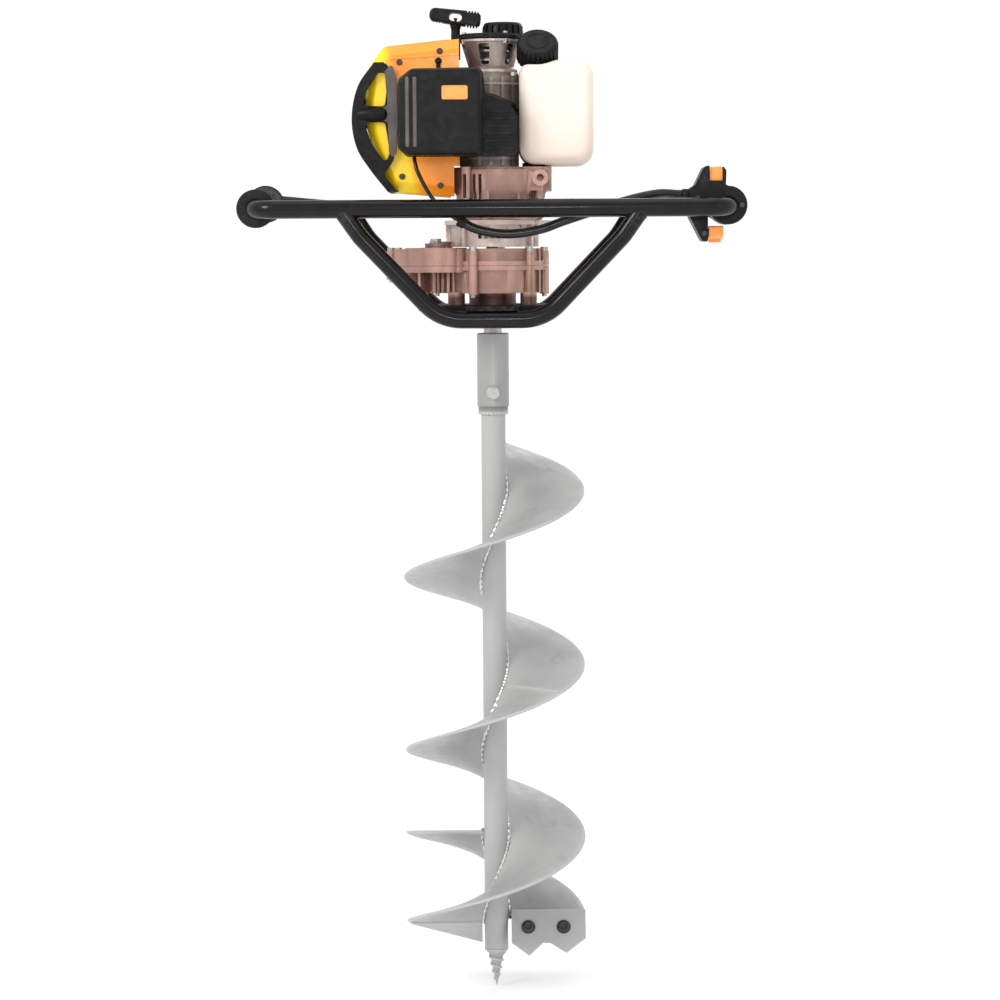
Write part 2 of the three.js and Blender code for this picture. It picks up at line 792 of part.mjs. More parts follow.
// A black cage round the plug end: a curved bar over the end face, with a flat fork in front.
function cylinderGuard() {
  const arc = (offset) => [
    [-130 - offset, 158],
    [-146 - offset, 130],
    [-152 - offset, 100],
    [-146 - offset, 70],
    [-131 - offset, 45],
    [-112 - offset, 20],
  ];
  const bow = outline([...arc(4), ...arc(-5).reverse()]);
  const window = (corners) => new THREE.Path(corners.map(([x, z]) => new THREE.Vector2(x, z)));
  const fork = outline([...arc(4), [-102, 46], [-108, 64], [-110, 106], [-108, 148], [-112, 166]]);
  fork.holes.push(
    window([
      [-141, 92],
      [-135, 72],
      [-122, 52],
      [-113, 62],
      [-116, 92],
    ]),
    window([
      [-127, 150],
      [-138, 132],
      [-142, 114],
      [-116, 114],
      [-114, 148],
    ])
  );
  const frontY = -49;
  return cut(
    join(alongY(bow, [frontY, 40]), alongY(fork, [frontY, frontY + 5])),
    shroudForm(-GAP - 0.2, -43, 46),
    rod(13, at(-150, 0, CYLINDER_Z), at(-130, 0, CYLINDER_Z), 12)
  );
}

// Lengthwise about the cylinder's axis, from the electrode to the terminal.
function sparkPlug() {
  const along = (x0, x1, radius, sides) =>
    rod(radius, at(x0, 0, CYLINDER_Z), at(x1, 0, CYLINDER_Z), sides);
  return join(
    along(-102, CYLINDER_END_X - 1, 6, 12),
    along(CYLINDER_END_X - GAP, -119, 9.5, 6),
    along(-118, -132, 5, 12),
    along(-131, -136, 2.5, 10)
  );
}

function plugBoot() {
  const from = at(-123, 0, CYLINDER_Z);
  const to = at(-145, 0, CYLINDER_Z);
  const hollow = rod(5.6, at(-120, 0, CYLINDER_Z), at(-138, 0, CYLINDER_Z), 12);
  return cut(rod(9, from, to, 14, 7.5), hollow);
}

function carburettor() {
  const x = -68;
  const body = join(
    box([x - 17, x + 17], [-61, -37], [CYLINDER_Z - 15, CYLINDER_Z + 19]),
    box([x - 20, x + 20], [-63.5, -60], [CYLINDER_Z - 13, CYLINDER_Z + 13]),
    rod(12, at(x, -51, CYLINDER_Z - 24), at(x, -51, CYLINDER_Z - 14), 14)
  );
  return cut(body, rod(8, at(x, -70, CYLINDER_Z), at(x, -30, CYLINDER_Z), 12));
}

// The small arm on the carburettor that the throttle cable turns.
const CARB_LEVER = { x: -68, y: -51, z: CYLINDER_Z + 19 };

function carbLever() {
  const { x, y, z } = CARB_LEVER;
  return join(
    post(5, [z + GAP, z + 4], 10, x, y),
    box([x, x + 12], [y - 3, y + 3], [z + 1, z + 3.5])
  );
}

const FILTER = { x: [-100, 28], z: [57, 150], joint: -78, rear: -64, front: -101 };

function airFilterBase() {
  const { x, z, joint, rear } = FILTER;
  const plate = outline([
    [x[0] + 8, z[0]],
    [x[1], z[0]],
    [x[1], z[0] + 36],
    [x[1] - 6, z[1] - 22],
    [x[1] - 34, z[1]],
    [x[0] + 12, z[1]],
    [x[0], z[1] - 10],
    [x[0], z[0] + 8],
  ]);
  const tray = alongY(plate, [joint + GAP, rear]);
  const hollow = box([x[0] + 8, x[1] - 42], [joint - 1, rear - 3], [z[0] + 8, z[1] - 8]);
  const port = rod(8, at(-68, -80, CYLINDER_Z), at(-68, -55, CYLINDER_Z), 12);
  return cut(tray, hollow, port);
}

function airFilterCover() {
  const { x, z, joint, front } = FILTER;
  const right = x[1] - 38;
  const face = outline([
    [x[0] + 9, z[0]],
    [right, z[0]],
    [right, z[1] + 1],
    [x[0] + 14, z[1]],
    [x[0], z[1] - 13],
    [x[0], z[0] + 9],
  ]);
  const bevel = 5;
  const depth = joint - front - bevel;
  const cover = new THREE.ExtrudeGeometry(face, {
    depth,
    bevelThickness: bevel,
    bevelSize: bevel,
    bevelOffset: -bevel,
    bevelSegments: 2,
  })
    .rotateX(Math.PI / 2)
    .translate(0, joint, 0);
  const hollow = box([x[0] + 7, right - 5], [front + 5, joint + 20], [z[0] + 6, z[1] - 6]);
  const rear = box([x[0] - 5, right + 5], [joint, joint + 20], [z[0] - 5, z[1] + 5]);
  const ridge = (ridgeX) =>
    box([ridgeX - 1.5, ridgeX + 1.5], [front - 1.2, front + 2], [z[0] + 14, z[1] - 14]);
  return join(cut(cover, hollow, rear), ridge(x[0] + 10), ridge(x[0] + 18));
}

// A flat lever behind the filter tray, with a knob above it.
const CHOKE = { x: -57, y: -61, z: 138 };

function chokeLever() {
  const { x, y, z } = CHOKE;
  return join(
    rod(5, at(x, y - 2.4, z), at(x, y + 1.5, z), 10),
    box([x - 2.5, x + 2.5], [y - 2.4, y + 0.1], [z, z + 20]),
    rod(3.5, at(x, y - 2.4, z + 22), at(x, y + 3, z + 22), 10)
  );
}

function muffler() {
  const body = new THREE.ExtrudeGeometry(
    outline([
      [-104, 70],
      [-34, 70],
      [-34, 142],
      [-104, 142],
    ]),
    { depth: 22, bevelThickness: 6, bevelSize: 6, bevelOffset: -6, bevelSegments: 1 }
  )
    .rotateX(Math.PI / 2)
    .translate(0, 79, 0);
  const flange = box([-82, -54], [38, 52], [CYLINDER_Z - 14, CYLINDER_Z + 14]);
  const outlet = rod(7, at(-48, 80, 84), at(-48, 92, 84), 10);
  return cut(
    join(body, flange, outlet),
    box([-99, -39], [56, 81], [75, 137]),
    rod(5, at(-48, 78, 84), at(-48, 100, 84), 10),
    rod(7, at(-68, 30, CYLINDER_Z), at(-68, 60, CYLINDER_Z), 12)
  );
}

// ---------------------------------------------------------------- fuel tank

const capAxis = at(0, -Math.sin(CAP_TILT), Math.cos(CAP_TILT));
const onCapAxis = (distance) => CAP_CENTRE.clone().addScaledVector(capAxis, distance);

function roundedRectangle([u0, u1], [v0, v1], radius) {
  const shape = new THREE.Shape();
  shape.absarc(u0 + radius, v0 + radius, radius, Math.PI, 1.5 * Math.PI);
  shape.absarc(u1 - radius, v0 + radius, radius, 1.5 * Math.PI, 2 * Math.PI);
  shape.absarc(u1 - radius, v1 - radius, radius, 0, 0.5 * Math.PI);
  shape.absarc(u0 + radius, v1 - radius, radius, 0.5 * Math.PI, Math.PI);
  return shape;
}

function tankForm(inset, segments) {
  const { x, y, z } = TANK;
  const edge = 12;
  return new THREE.ExtrudeGeometry(roundedRectangle(x, z, 18), {
    depth: y[1] - y[0] - 2 * inset - 2 * edge,
    bevelThickness: edge,
    bevelSize: edge,
    bevelOffset: -edge - inset,
    bevelSegments: segments,
    curveSegments: segments + 1,
  })
    .rotateX(Math.PI / 2)
    .translate(0, y[1] - inset - edge, 0);
}

// A rounded shell with a pocket for the cap in its top front corner.
function fuelTank() {
  const pocket = (grow) => rod(CAP_RADIUS + 2.5 + grow, onCapAxis(-12 - grow), onCapAxis(70), 20);
  const outer = cut(tankForm(0, 2), pocket(0));
  const inner = cut(tankForm(TANK_WALL, 1), pocket(TANK_WALL));
  const neck = cut(rod(15, onCapAxis(-30), onCapAxis(6), 14), tankForm(1, 1));
  const throat = rod(15, onCapAxis(-13.5), onCapAxis(6), 14);
  const foot = box([34, 58], [-14, 14], [FAN_CASE_TOP_Z + GAP, TANK.z[0] + 4]);
  const shell = cut(join(outer, foot), inner);
  return cut(join(shell, neck, throat), rod(12, onCapAxis(-45), onCapAxis(10), 14));
}

function fuelCap() {
  const ribs = 16;
  const points = [];
  for (let i = 0; i < 2 * ribs; i += 1) {
    const radius = CAP_RADIUS - (i % 2 ? 0 : 1.4);
    const angle = (Math.PI * i) / ribs;
    points.push([radius * Math.cos(angle), radius * Math.sin(angle)]);
  }
  const top = rod(CAP_RADIUS - 1, at(0, 0, 9.5), at(0, 0, 13), 24, CAP_RADIUS - 6);
  const cap = cut(
    join(alongZ(outline(points), [-11, 9.5]), top),
    post(16, [-15, 8], 16)
  );
  return cap.rotateX(CAP_TILT).translate(CAP_CENTRE.x, CAP_CENTRE.y, CAP_CENTRE.z);
}

// The fuel hose from the tank to the carburettor.
function fuelLine() {
  const route = new THREE.CatmullRomCurve3([
    at(TANK.x[0] - 1.5, -30, 112),
    at(18, -36, 116),
    at(-4, -46, 124),
    at(-28, -54, 122),
    at(-49.3, -54, 113),
  ]);
  return tube(route.getSpacedPoints(8), 2.5, 6);
}

// ---------------------------------------------------------------- starter

// An open cone of four legs that carries the starter over the crankcase.
function starterBase() {
  const bottom = CRANKCASE_TOP_Z + GAP;
  const top = STARTER_DISC_Z;
  const cone = turnedRing(
    [
      [20.5, bottom],
      [29, bottom],
      [29, bottom + 4],
      [24, bottom + 6],
      [34, top],
      [30.5, top],
      [20.5, bottom + 6],
    ],
    20
  );
  const window = (turn) => box([6, 60], [-11, 11], [bottom + 8, top - 5]).rotateZ(turn);
  const windows = [0, 1, 2, 3].map((quarter) => window((Math.PI / 2) * quarter - Math.PI / 2));
  return cut(cone, ...windows);
}

function starterCover() {
  const bottom = STARTER_DISC_Z + GAP;
  const disc = post(35, [bottom, bottom + 6], 24);
  const boss = rod(23, at(13, 0, bottom + 5), at(13, 0, STARTER_TOP_Z), 20, 21);
  const arm = box([ROPE_X - 5, -25], [-7, 7], [bottom, bottom + 6]);
  const guide = post(5, [165, bottom + 11], 12, ROPE_X);
  const pin = post(4.5, [162, bottom + 1], 12);
  return cut(join(disc, boss, arm, guide, pin), post(2.6, [160, bottom + 15], 10, ROPE_X));
}

function starterPulley() {
  return turnedRing(
    [
      [4.9, 163],
      [19.5, 163],
      [19.5, 165],
      [15, 166],
      [15, 172],
      [19.5, 173],
      [19.5, 175],
      [4.9, 175],
    ],
    16
  );
}

// A flat spiral between the pulley and the cover.
function recoilSpring() {
  const turns = 3.5;
  const steps = 32;
  const [inner, outer] = [7, 27];
  const stations = [];
  for (let i = 0; i <= steps; i += 1) {
    const angle = (2 * Math.PI * turns * i) / steps;
    const radius = inner + ((outer - inner) * i) / steps;
    stations.push([radius, angle]);
  }
  const edge = (offset) =>
    stations.map(([radius, angle]) => [
      (radius + offset) * Math.cos(angle),
      (radius + offset) * Math.sin(angle),
    ]);
  return alongZ(outline([...edge(0.5), ...edge(-0.5).reverse()]), [178, 184]);
}

const HANDLE_SEAT_Z = STARTER_DISC_Z + GAP + 11;

function starterRope() {
  return post(ROPE_RADIUS, [170, HANDLE_SEAT_Z + 4.5], 8, ROPE_X);
}

// A moulded pull handle that leans down to the right, with an opening over the rope's knot.
function starterHandle() {
  const shape = roundedRectangle([-29, 28], [-8, 8], 7);
  const bar = extruded(shape, 12, {
    bevelEnabled: true,
    bevelThickness: 3,
    bevelSize: 3,
    bevelOffset: -3,
    bevelSegments: 1,
    curveSegments: 2,
  }).translate(0, 0, -6);
  const knotOpening = extruded(roundedRectangle([-7, 7], [-4.5, 4.5], 4), 40, { curveSegments: 2 });
  const leaning = cut(bar, knotOpening.translate(0, 0, -20))
    .rotateX(Math.PI / 2)
    .rotateY(THREE.MathUtils.degToRad(7))
    .translate(ROPE_X, 0, HANDLE_SEAT_Z + 14);
  const shank = rod(5, at(ROPE_X, 0, HANDLE_SEAT_Z + GAP), at(ROPE_X, 0, HANDLE_SEAT_Z + 8), 12, 7);
  return cut(join(leaning, shank), post(2.4, [HANDLE_SEAT_Z - 5, HANDLE_SEAT_Z + 6], 10, ROPE_X));
}

// ---------------------------------------------------------------- controls on the right grip

const HOUSING_Y = [-72, -30];
const HOUSING_Z = gripHeight(-51);
const TRIGGER_PIVOT = { y: -66, z: -22 };
const LOCKOUT_PIVOT = { y: -66, z: 30 };

function throttleHousing() {
  const x = LOOP_HALF_WIDTH;
  const z = HOUSING_Z;
  const inner = (LOOP_RADIUS + 1) / Math.cos(Math.PI / 16);
  const collar = rod(GRIP_RADIUS, at(x, HOUSING_Y[0], z), at(x, HOUSING_Y[1], z), 24);
  const cheek = outline([
    [x - 42, -10],
    [x - 28, -37],
    [x - 22, -37],
    [x - 22, 0],
    [x - 3, 15],
    [x - 2, 40],
    [x - 6, 45],
    [x - 26, 45],
    [x - 36, 24],
    [x - 42, 21],
  ]);
  const tool = rod(inner, at(x, -90, gripHeight(-90)), at(x, 0, gripHeight(0)), 16);
  const lockoutSlot = box([x - 20.5, x - 5.5], [HOUSING_Y[0] + 2.5, 0], [z + 21.5, 60]);
  return cut(join(collar, alongY(cheek, HOUSING_Y)), tool, lockoutSlot, cableSocket());
}

function cableSocket() {
  const x = LOOP_HALF_WIDTH - 42;
  return rod(6.4, at(x - 5, -60, 14), at(x + 10, -60, 14), 8);
}

// A curved blade under the grip. It turns about its front end.
function throttleTrigger() {
  const { y, z } = TRIGGER_PIVOT;
  const blade = outline([
    [y - 4, z + 2],
    [y + 4, z + 2],
    [y + 14, z - 5],
    [y + 30, z - 9],
    [y + 31, z - 15],
    [y + 14, z - 13],
    [y - 2, z - 9],
  ]);
  return alongX(blade, [LOOP_HALF_WIDTH - 21, LOOP_HALF_WIDTH - 5]);
}

// A palm lever on top of the grip. It turns about its front end.
function throttleLockout() {
  const { y, z } = LOCKOUT_PIVOT;
  const lever = outline([
    [y - 3, z - 2],
    [y + 31, z + 1],
    [y + 32, z + 9],
    [y + 20, z + 15],
    [y + 2, z + 14],
    [y - 3, z + 9],
  ]);
  return alongX(lever, [LOOP_HALF_WIDTH - 20, LOOP_HALF_WIDTH - 6]);
}

// A slide button in front of the cable's entry, on the side that faces the engine.
function stopSwitch() {
  const x = LOOP_HALF_WIDTH - 42 - GAP;
  return join(box([x - 2, x], [-50, -38], [-3, 7]), box([x - 5, x - 1], [-47, -41], [0, 4]));
}

const CABLE_Y = -82;

// Inner cable from the carburettor tray down to the conduit.
function throttleCable() {
  const route = new THREE.CatmullRomCurve3([
    at(-84, -71, FILTER.z[0] - 1),
    at(-80, -77, 40),
    at(-66, CABLE_Y - 1, 14),
    at(-50, CABLE_Y - 0.5, -3),
    at(-35.3, CABLE_Y, -12.8),
  ]);
  return tube(route.getSpacedPoints(9), 2.2, 6);
}

// The conduit hangs in a bow behind the front tube, then climbs over to the throttle.
function throttleConduit() {
  const route = new THREE.CatmullRomCurve3([
    at(-35, CABLE_Y, -13),
    at(-14, CABLE_Y, -23),
    at(18, CABLE_Y, -27.5),
    at(52, CABLE_Y, -23),
    at(78, CABLE_Y, -14),
    at(112, CABLE_Y, -3),
    at(147, CABLE_Y + 1, 8),
    at(180, CABLE_Y + 8, 15),
    at(203, -61.5, 14.5),
    at(LOOP_HALF_WIDTH - 42 + 4, -60, 14),
  ]);
  return tube(route.getSpacedPoints(20), 5, 8);
}

// ---------------------------------------------------------------- drill

const crossHole = () => rod(BOLT_HOLE_RADIUS, at(0, -40, BOLT_HOLE_Z), at(0, 40, BOLT_HOLE_Z), 10);

function augerSleeve() {
  const shaftBore = (SHAFT_RADIUS + GAP) / Math.cos(Math.PI / 20);
  const tubeBore = (TUBE_RADIUS + GAP) / Math.cos(Math.PI / 20);
  const step = TUBE_TOP_Z + GAP;
  const ring = turnedRing(
    [
      [shaftBore, SLEEVE_TOP_Z],
      [SLEEVE_RADIUS, SLEEVE_TOP_Z],
      [SLEEVE_RADIUS, SLEEVE_BOTTOM_Z + 6],
      [TUBE_RADIUS + 2, SLEEVE_BOTTOM_Z],
      [tubeBore, SLEEVE_BOTTOM_Z],
      [tubeBore, step],
      [shaftBore, step],
    ],
    20
  );
  return cut(ring, crossHole());
}

function couplingBolt() {
  const reach = SLEEVE_RADIUS + 1;
  const bar = (radius, y0, y1, sides) =>
    rod(radius, at(0, y0, BOLT_HOLE_Z), at(0, y1, BOLT_HOLE_Z), sides);
  return join(
    bar(4, -reach - 1, reach + 8, 10),
    bar(7.2, -reach - 5, -reach + 0.4, 6),
    bar(7.2, reach, reach + 6, 6)
  );
}

function augerTube() {
  return turnedRing(
    [
      [TUBE_RADIUS - 3, TUBE_BOTTOM_Z],
      [TUBE_RADIUS, TUBE_BOTTOM_Z],
      [TUBE_RADIUS, TUBE_TOP_Z],
      [TUBE_RADIUS - 3, TUBE_TOP_Z],
    ],
    20
  );
}

// The main spiral is welded up from an upper and a lower section.
const upperFlightTurns = MAIN_FLIGHT_TURNS / 2;
const lowerFlightTurns = MAIN_FLIGHT_TURNS / 2;

function lowerFlight() {
  return flight(MAIN_FLIGHT_END, lowerFlightTurns);
}

function upperFlight() {
  const end = {
    angle: MAIN_FLIGHT_END.angle + 2 * Math.PI * lowerFlightTurns,
    z: MAIN_FLIGHT_END.z + FLIGHT_PITCH * lowerFlightTurns + 0.5,
  };
  return cut(flight(end, upperFlightTurns), flight(MAIN_FLIGHT_END, lowerFlightTurns));
}

// Flat pieces of the right-hand cutting edge are drawn with x outwards and y up the slope.
function ontoCutterSlope(geometry, lift) {
  geometry.translate(0, 0, lift);
  geometry.rotateX(CUTTER_SLOPE);
  return geometry.translate(0, 0, SECOND_FLIGHT_END.z);
}

const CUTTER_BOLTS = [
  [36, -15],
  [76, -15],
];

function secondFlight() {
  const plate = outline([
    [17, 2],
    [17, -30],
    [90, -30],
    [98, -24],
    [98, 2],
  ]);
  for (const [x, y] of CUTTER_BOLTS) {
    plate.holes.push(new THREE.Path().absarc(x, y, 4.3, 0, 2 * Math.PI, true));
  }
  const holder = ontoCutterSlope(extruded(plate, HOLDER_THICKNESS), -HOLDER_THICKNESS);
  return join(flight(SECOND_FLIGHT_END, SECOND_FLIGHT_TURNS), holder);
}

// A flat plate with two pointed teeth, bolted in front of its holder.
function toothedCutter() {
  const plate = outline([
    [17, 6],
    [17, -32],
    [37, -47],
    [56, -29],
    [79, -44],
    [101, -27],
    [101, 6],
  ]);
  for (const [x, y] of CUTTER_BOLTS) {
    plate.holes.push(new THREE.Path().absarc(x, y, 4.3, 0, 2 * Math.PI, true));
  }
  return ontoCutterSlope(extruded(plate, CUTTER_THICKNESS), FLIGHT_THICKNESS / 2 + GAP);
}

function cutterBolt([x, y]) {
  const front = FLIGHT_THICKNESS / 2 + CUTTER_THICKNESS + 2 * GAP;
  const bolt = join(
    post(4, [-HOLDER_THICKNESS - 7, front + 1], 10, x, y),
    rod(8, at(x, y, front), at(x, y, front + 4), 12, 6),
    post(7, [-HOLDER_THICKNESS - 6, -HOLDER_THICKNESS - GAP], 6, x, y)
  );
  return ontoCutterSlope(bolt, 0);
}

// A tapered plate below the end of the main spiral, deeper beside the tube.
function sideKnife() {
  const top = MAIN_FLIGHT_END.z - FLIGHT_THICKNESS / 2 - GAP;
  return new ConvexGeometry([
    at(-99, 0, top),
    at(-16, 0, top),
    at(-99, 4, top),
    at(-16, 6, top),
    at(-97, 24, top - 8),
    at(-16, 26, top - 30),
    at(-97, 26, top - 6),
    at(-16, 30, top - 27),
  ]);
}

// The centring point, a cone with a coarse screw's ridges.
function pilotPoint() {
  const top = TUBE_BOTTOM_Z - GAP;
  const profile = [
    [0, top],
    [TUBE_RADIUS, top],
    [TUBE_RADIUS - 2, top - 5],
  ];
  const ridges = 3;
  const ridgeTop = top - 6;
  const ridgeStep = (POINT_Z - ridgeTop) / (ridges + 1);
  for (let i = 0; i < ridges; i += 1) {
    const z = ridgeTop + ridgeStep * i;
    const radius = 9.5 - 2 * i;
    profile.push([radius - 3, z + ridgeStep * 0.25], [radius, z + ridgeStep * 0.6]);
  }
  profile.push([2.5, ridgeTop + ridgeStep * ridges], [0, POINT_Z]);
  return turned(profile, 14);
}

// ---------------------------------------------------------------- assembly

const group = new THREE.Group();

function add(name, geometry, surface) {
  const mesh = new THREE.Mesh(closed(geometry), surface);
  mesh.name = name;
  group.add(mesh);
}

add("front_tube", frontTube(), blackPaint);
add("rear_tube", rearTube(), blackPaint);
add("left_grip", grip(-LOOP_HALF_WIDTH, -GRIP_HALF_LENGTH, GRIP_HALF_LENGTH), rubber);
add("right_grip", grip(LOOP_HALF_WIDTH, HOUSING_Y[1] + 1.5, GRIP_HALF_LENGTH), rubber);
add("front_vee_frame", veeFrame(-LOOP_HALF_DEPTH, 0), blackPaint);
add("rear_vee_frame", veeFrame(LOOP_HALF_DEPTH, REAR_RUN_Z), blackPaint);
add("mounting_plate", mountingPlate(), blackPaint);

add("gearbox_lower_case", gearboxLowerCase(), castAluminium);
add("gearbox_upper_case", gearboxUpperCase(), castAluminium);
add("output_bearing", outputBearing(), steel);
add("layshaft", layshaft(), steel);
add("output_gear", outputGear(), steel);
add("output_shaft", outputShaft(), steel);

add("clutch_housing", clutchHousing(), castAluminium);
add("clutch_drum", clutchDrum(), steel);
add("clutch_shoe_front", clutchShoe(-1), castIron);
add("clutch_shoe_rear", clutchShoe(1), castIron);

add("fan_case", fanCase(), castAluminium);
add("crankcase", crankcase(), brightAluminium);
add("cylinder", finnedCylinder(), brightAluminium);
add("piston", piston(), brightAluminium);
add("crankshaft", crankshaft(), steel);
add("flywheel", flywheel(), brightAluminium);
add("ignition_coil", ignitionCoil(), blackPlastic);
add("engine_shroud", engineShroud(), yellowPlastic);
add("cylinder_guard", cylinderGuard(), blackPlastic);
add("spark_plug", sparkPlug(), ceramic);
add("plug_boot", plugBoot(), rubber);
add("carburettor", carburettor(), brightAluminium);
add("carburettor_lever", carbLever(), steel);
add("air_filter_base", airFilterBase(), blackPlastic);
add("air_filter_cover", airFilterCover(), blackPlastic);
add("choke_lever", chokeLever(), blackPlastic);
add("muffler", muffler(), steel);

add("fuel_tank", fuelTank(), tankPlastic);
add("fuel_cap", fuelCap(), blackPlastic);
add("fuel_line", fuelLine(), rubber);

add("starter_base", starterBase(), brightAluminium);
add("starter_cover", starterCover(), blackPlastic);
add("starter_pulley", starterPulley(), brightAluminium);
add("recoil_spring", recoilSpring(), steel);
add("starter_rope", starterRope(), rubber);
add("starter_handle", starterHandle(), blackPlastic);

add("throttle_housing", throttleHousing(), blackPlastic);
add("throttle_trigger", throttleTrigger(), orangePlastic);
add("throttle_lockout", throttleLockout(), orangePlastic);
add("stop_switch", stopSwitch(), orangePlastic);
add("throttle_cable", throttleCable(), rubber);
add("throttle_conduit", throttleConduit(), rubber);

add("auger_sleeve", augerSleeve(), drillPaint);
add("coupling_bolt", couplingBolt(), steel);
add("auger_tube", augerTube(), drillPaint);
add("upper_flight", upperFlight(), drillPaint);
add("lower_flight", lowerFlight(), drillPaint);
add("second_flight", secondFlight(), drillPaint);
add("toothed_cutter", toothedCutter(), drillPaint);
CUTTER_BOLTS.forEach((place, i) => add(`cutter_bolt_${i + 1}`, cutterBolt(place), steel));
add("side_knife", sideKnife(), drillPaint);
add("pilot_point", pilotPoint(), drillPaint);

export default group;
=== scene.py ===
import math

import bmesh
import bpy
from mathutils import Matrix, Vector, noise


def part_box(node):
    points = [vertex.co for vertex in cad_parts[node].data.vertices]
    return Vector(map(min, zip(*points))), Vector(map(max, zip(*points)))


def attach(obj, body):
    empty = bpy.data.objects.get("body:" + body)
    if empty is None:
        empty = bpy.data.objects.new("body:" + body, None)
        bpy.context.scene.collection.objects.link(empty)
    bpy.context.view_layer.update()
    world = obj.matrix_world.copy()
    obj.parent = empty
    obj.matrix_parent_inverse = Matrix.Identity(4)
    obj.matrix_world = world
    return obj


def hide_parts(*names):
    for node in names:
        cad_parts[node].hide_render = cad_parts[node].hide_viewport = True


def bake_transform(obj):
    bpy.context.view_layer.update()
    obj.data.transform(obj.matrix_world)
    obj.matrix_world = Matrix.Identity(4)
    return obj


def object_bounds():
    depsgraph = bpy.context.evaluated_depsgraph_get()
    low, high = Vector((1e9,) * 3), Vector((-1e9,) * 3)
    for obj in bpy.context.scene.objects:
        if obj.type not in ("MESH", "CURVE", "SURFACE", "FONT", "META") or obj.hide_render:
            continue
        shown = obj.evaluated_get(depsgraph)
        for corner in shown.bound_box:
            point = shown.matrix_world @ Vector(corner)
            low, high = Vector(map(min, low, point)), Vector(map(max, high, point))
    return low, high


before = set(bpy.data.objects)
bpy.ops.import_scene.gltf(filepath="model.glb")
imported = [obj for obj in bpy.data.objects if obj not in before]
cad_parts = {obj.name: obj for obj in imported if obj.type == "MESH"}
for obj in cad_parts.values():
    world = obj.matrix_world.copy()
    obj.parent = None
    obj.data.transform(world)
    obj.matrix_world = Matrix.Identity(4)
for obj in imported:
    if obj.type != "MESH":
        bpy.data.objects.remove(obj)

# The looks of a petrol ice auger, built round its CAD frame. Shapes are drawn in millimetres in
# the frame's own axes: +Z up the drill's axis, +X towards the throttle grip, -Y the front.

CAD_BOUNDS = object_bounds()
MM = 0.001
TURN = 2 * math.pi


def span(node):
    """The lowest and highest corner of a CAD node, in millimetres."""
    low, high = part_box(node)
    return low / MM, high / MM


def add_object(name, data):
    item = bpy.data.objects.new(name, data)
    bpy.context.scene.collection.objects.link(item)
    return item


# ------------------------------------------------------------ camera, light and floor

LENS = 102.85
SENSOR = 36
CAMERA_PLACE = Vector((0.0114, -3.1916, -0.0444))
CAMERA_PAN = math.radians(0.081)
CAMERA_DIP = math.radians(5.008)
CAMERA_ROLL = math.radians(-0.35)
FLOOR_REACH = 6.0
FLOOR_GAP = 0.002


def add_camera():
    camera = add_object("camera", bpy.data.cameras.new("camera"))
    camera.data.lens = LENS
    camera.data.sensor_width = SENSOR
    pan = Matrix.Rotation(CAMERA_PAN, 4, "Z")
    dip = Matrix.Rotation(math.pi / 2 - CAMERA_DIP, 4, "X")
    roll = Matrix.Rotation(CAMERA_ROLL, 4, "Z")
    camera.matrix_world = Matrix.Translation(CAMERA_PLACE) @ pan @ dip @ roll
    bpy.context.scene.camera = camera


def add_light(name, place, target, size, power, colour=(1, 1, 1)):
    lamp = bpy.data.lights.new(name, "AREA")
    lamp.shape = "RECTANGLE"
    lamp.size, lamp.size_y = size
    lamp.energy = power
    lamp.color = colour
    holder = add_object(name, lamp)
    holder.location = place
    holder.rotation_euler = (Vector(target) - Vector(place)).to_track_quat("-Z", "Y").to_euler()


def add_studio():
    add_light("key_light", (-2.2, -2.0, 1.5), (0, 0, -0.1), (1.0, 1.2), 56, (1, 0.985, 0.96))
    add_light("front_light", (0.1, -2.8, 0.45), (0, 0, 0), (0.34, 0.24), 7, (1, 0.98, 0.95))
    add_light("fill_light", (2.4, -2.2, 0.4), (0, 0, -0.2), (1.2, 1.8), 5)
    add_light("top_light", (0.2, -0.2, 2.6), (0, 0, 0), (1.8, 1.8), 10)
    add_light("back_light", (0.9, 2.6, 1.0), (0, 0, -0.1), (1.6, 1.6), 8)
    world = bpy.data.worlds.new("studio")
    world.use_nodes = True
    background = world.node_tree.nodes["Background"]
    background.inputs["Color"].default_value = (1, 1, 1, 1)
    background.inputs["Strength"].default_value = 1.04
    bpy.context.scene.world = world
    bpy.context.scene.view_settings.view_transform = "Standard"


def add_floor():
    reach, level = FLOOR_REACH, CAD_BOUNDS[0].z - FLOOR_GAP
    mesh = bpy.data.meshes.new("floor")
    mesh.from_pydata([(x, y, level) for x, y in rectangle(-reach, reach, -reach, reach)], [], [(0, 1, 2, 3)])
    paper = bpy.data.materials.new("floor_paper")
    paper.use_nodes = True
    shader = paper.node_tree.nodes["Principled BSDF"]
    shader.inputs["Base Color"].default_value = (0.97, 0.97, 0.97, 1)
    shader.inputs["Roughness"].default_value = 0.9
    mesh.materials.append(paper)
    add_object("floor", mesh)


# ------------------------------------------------------------ materials


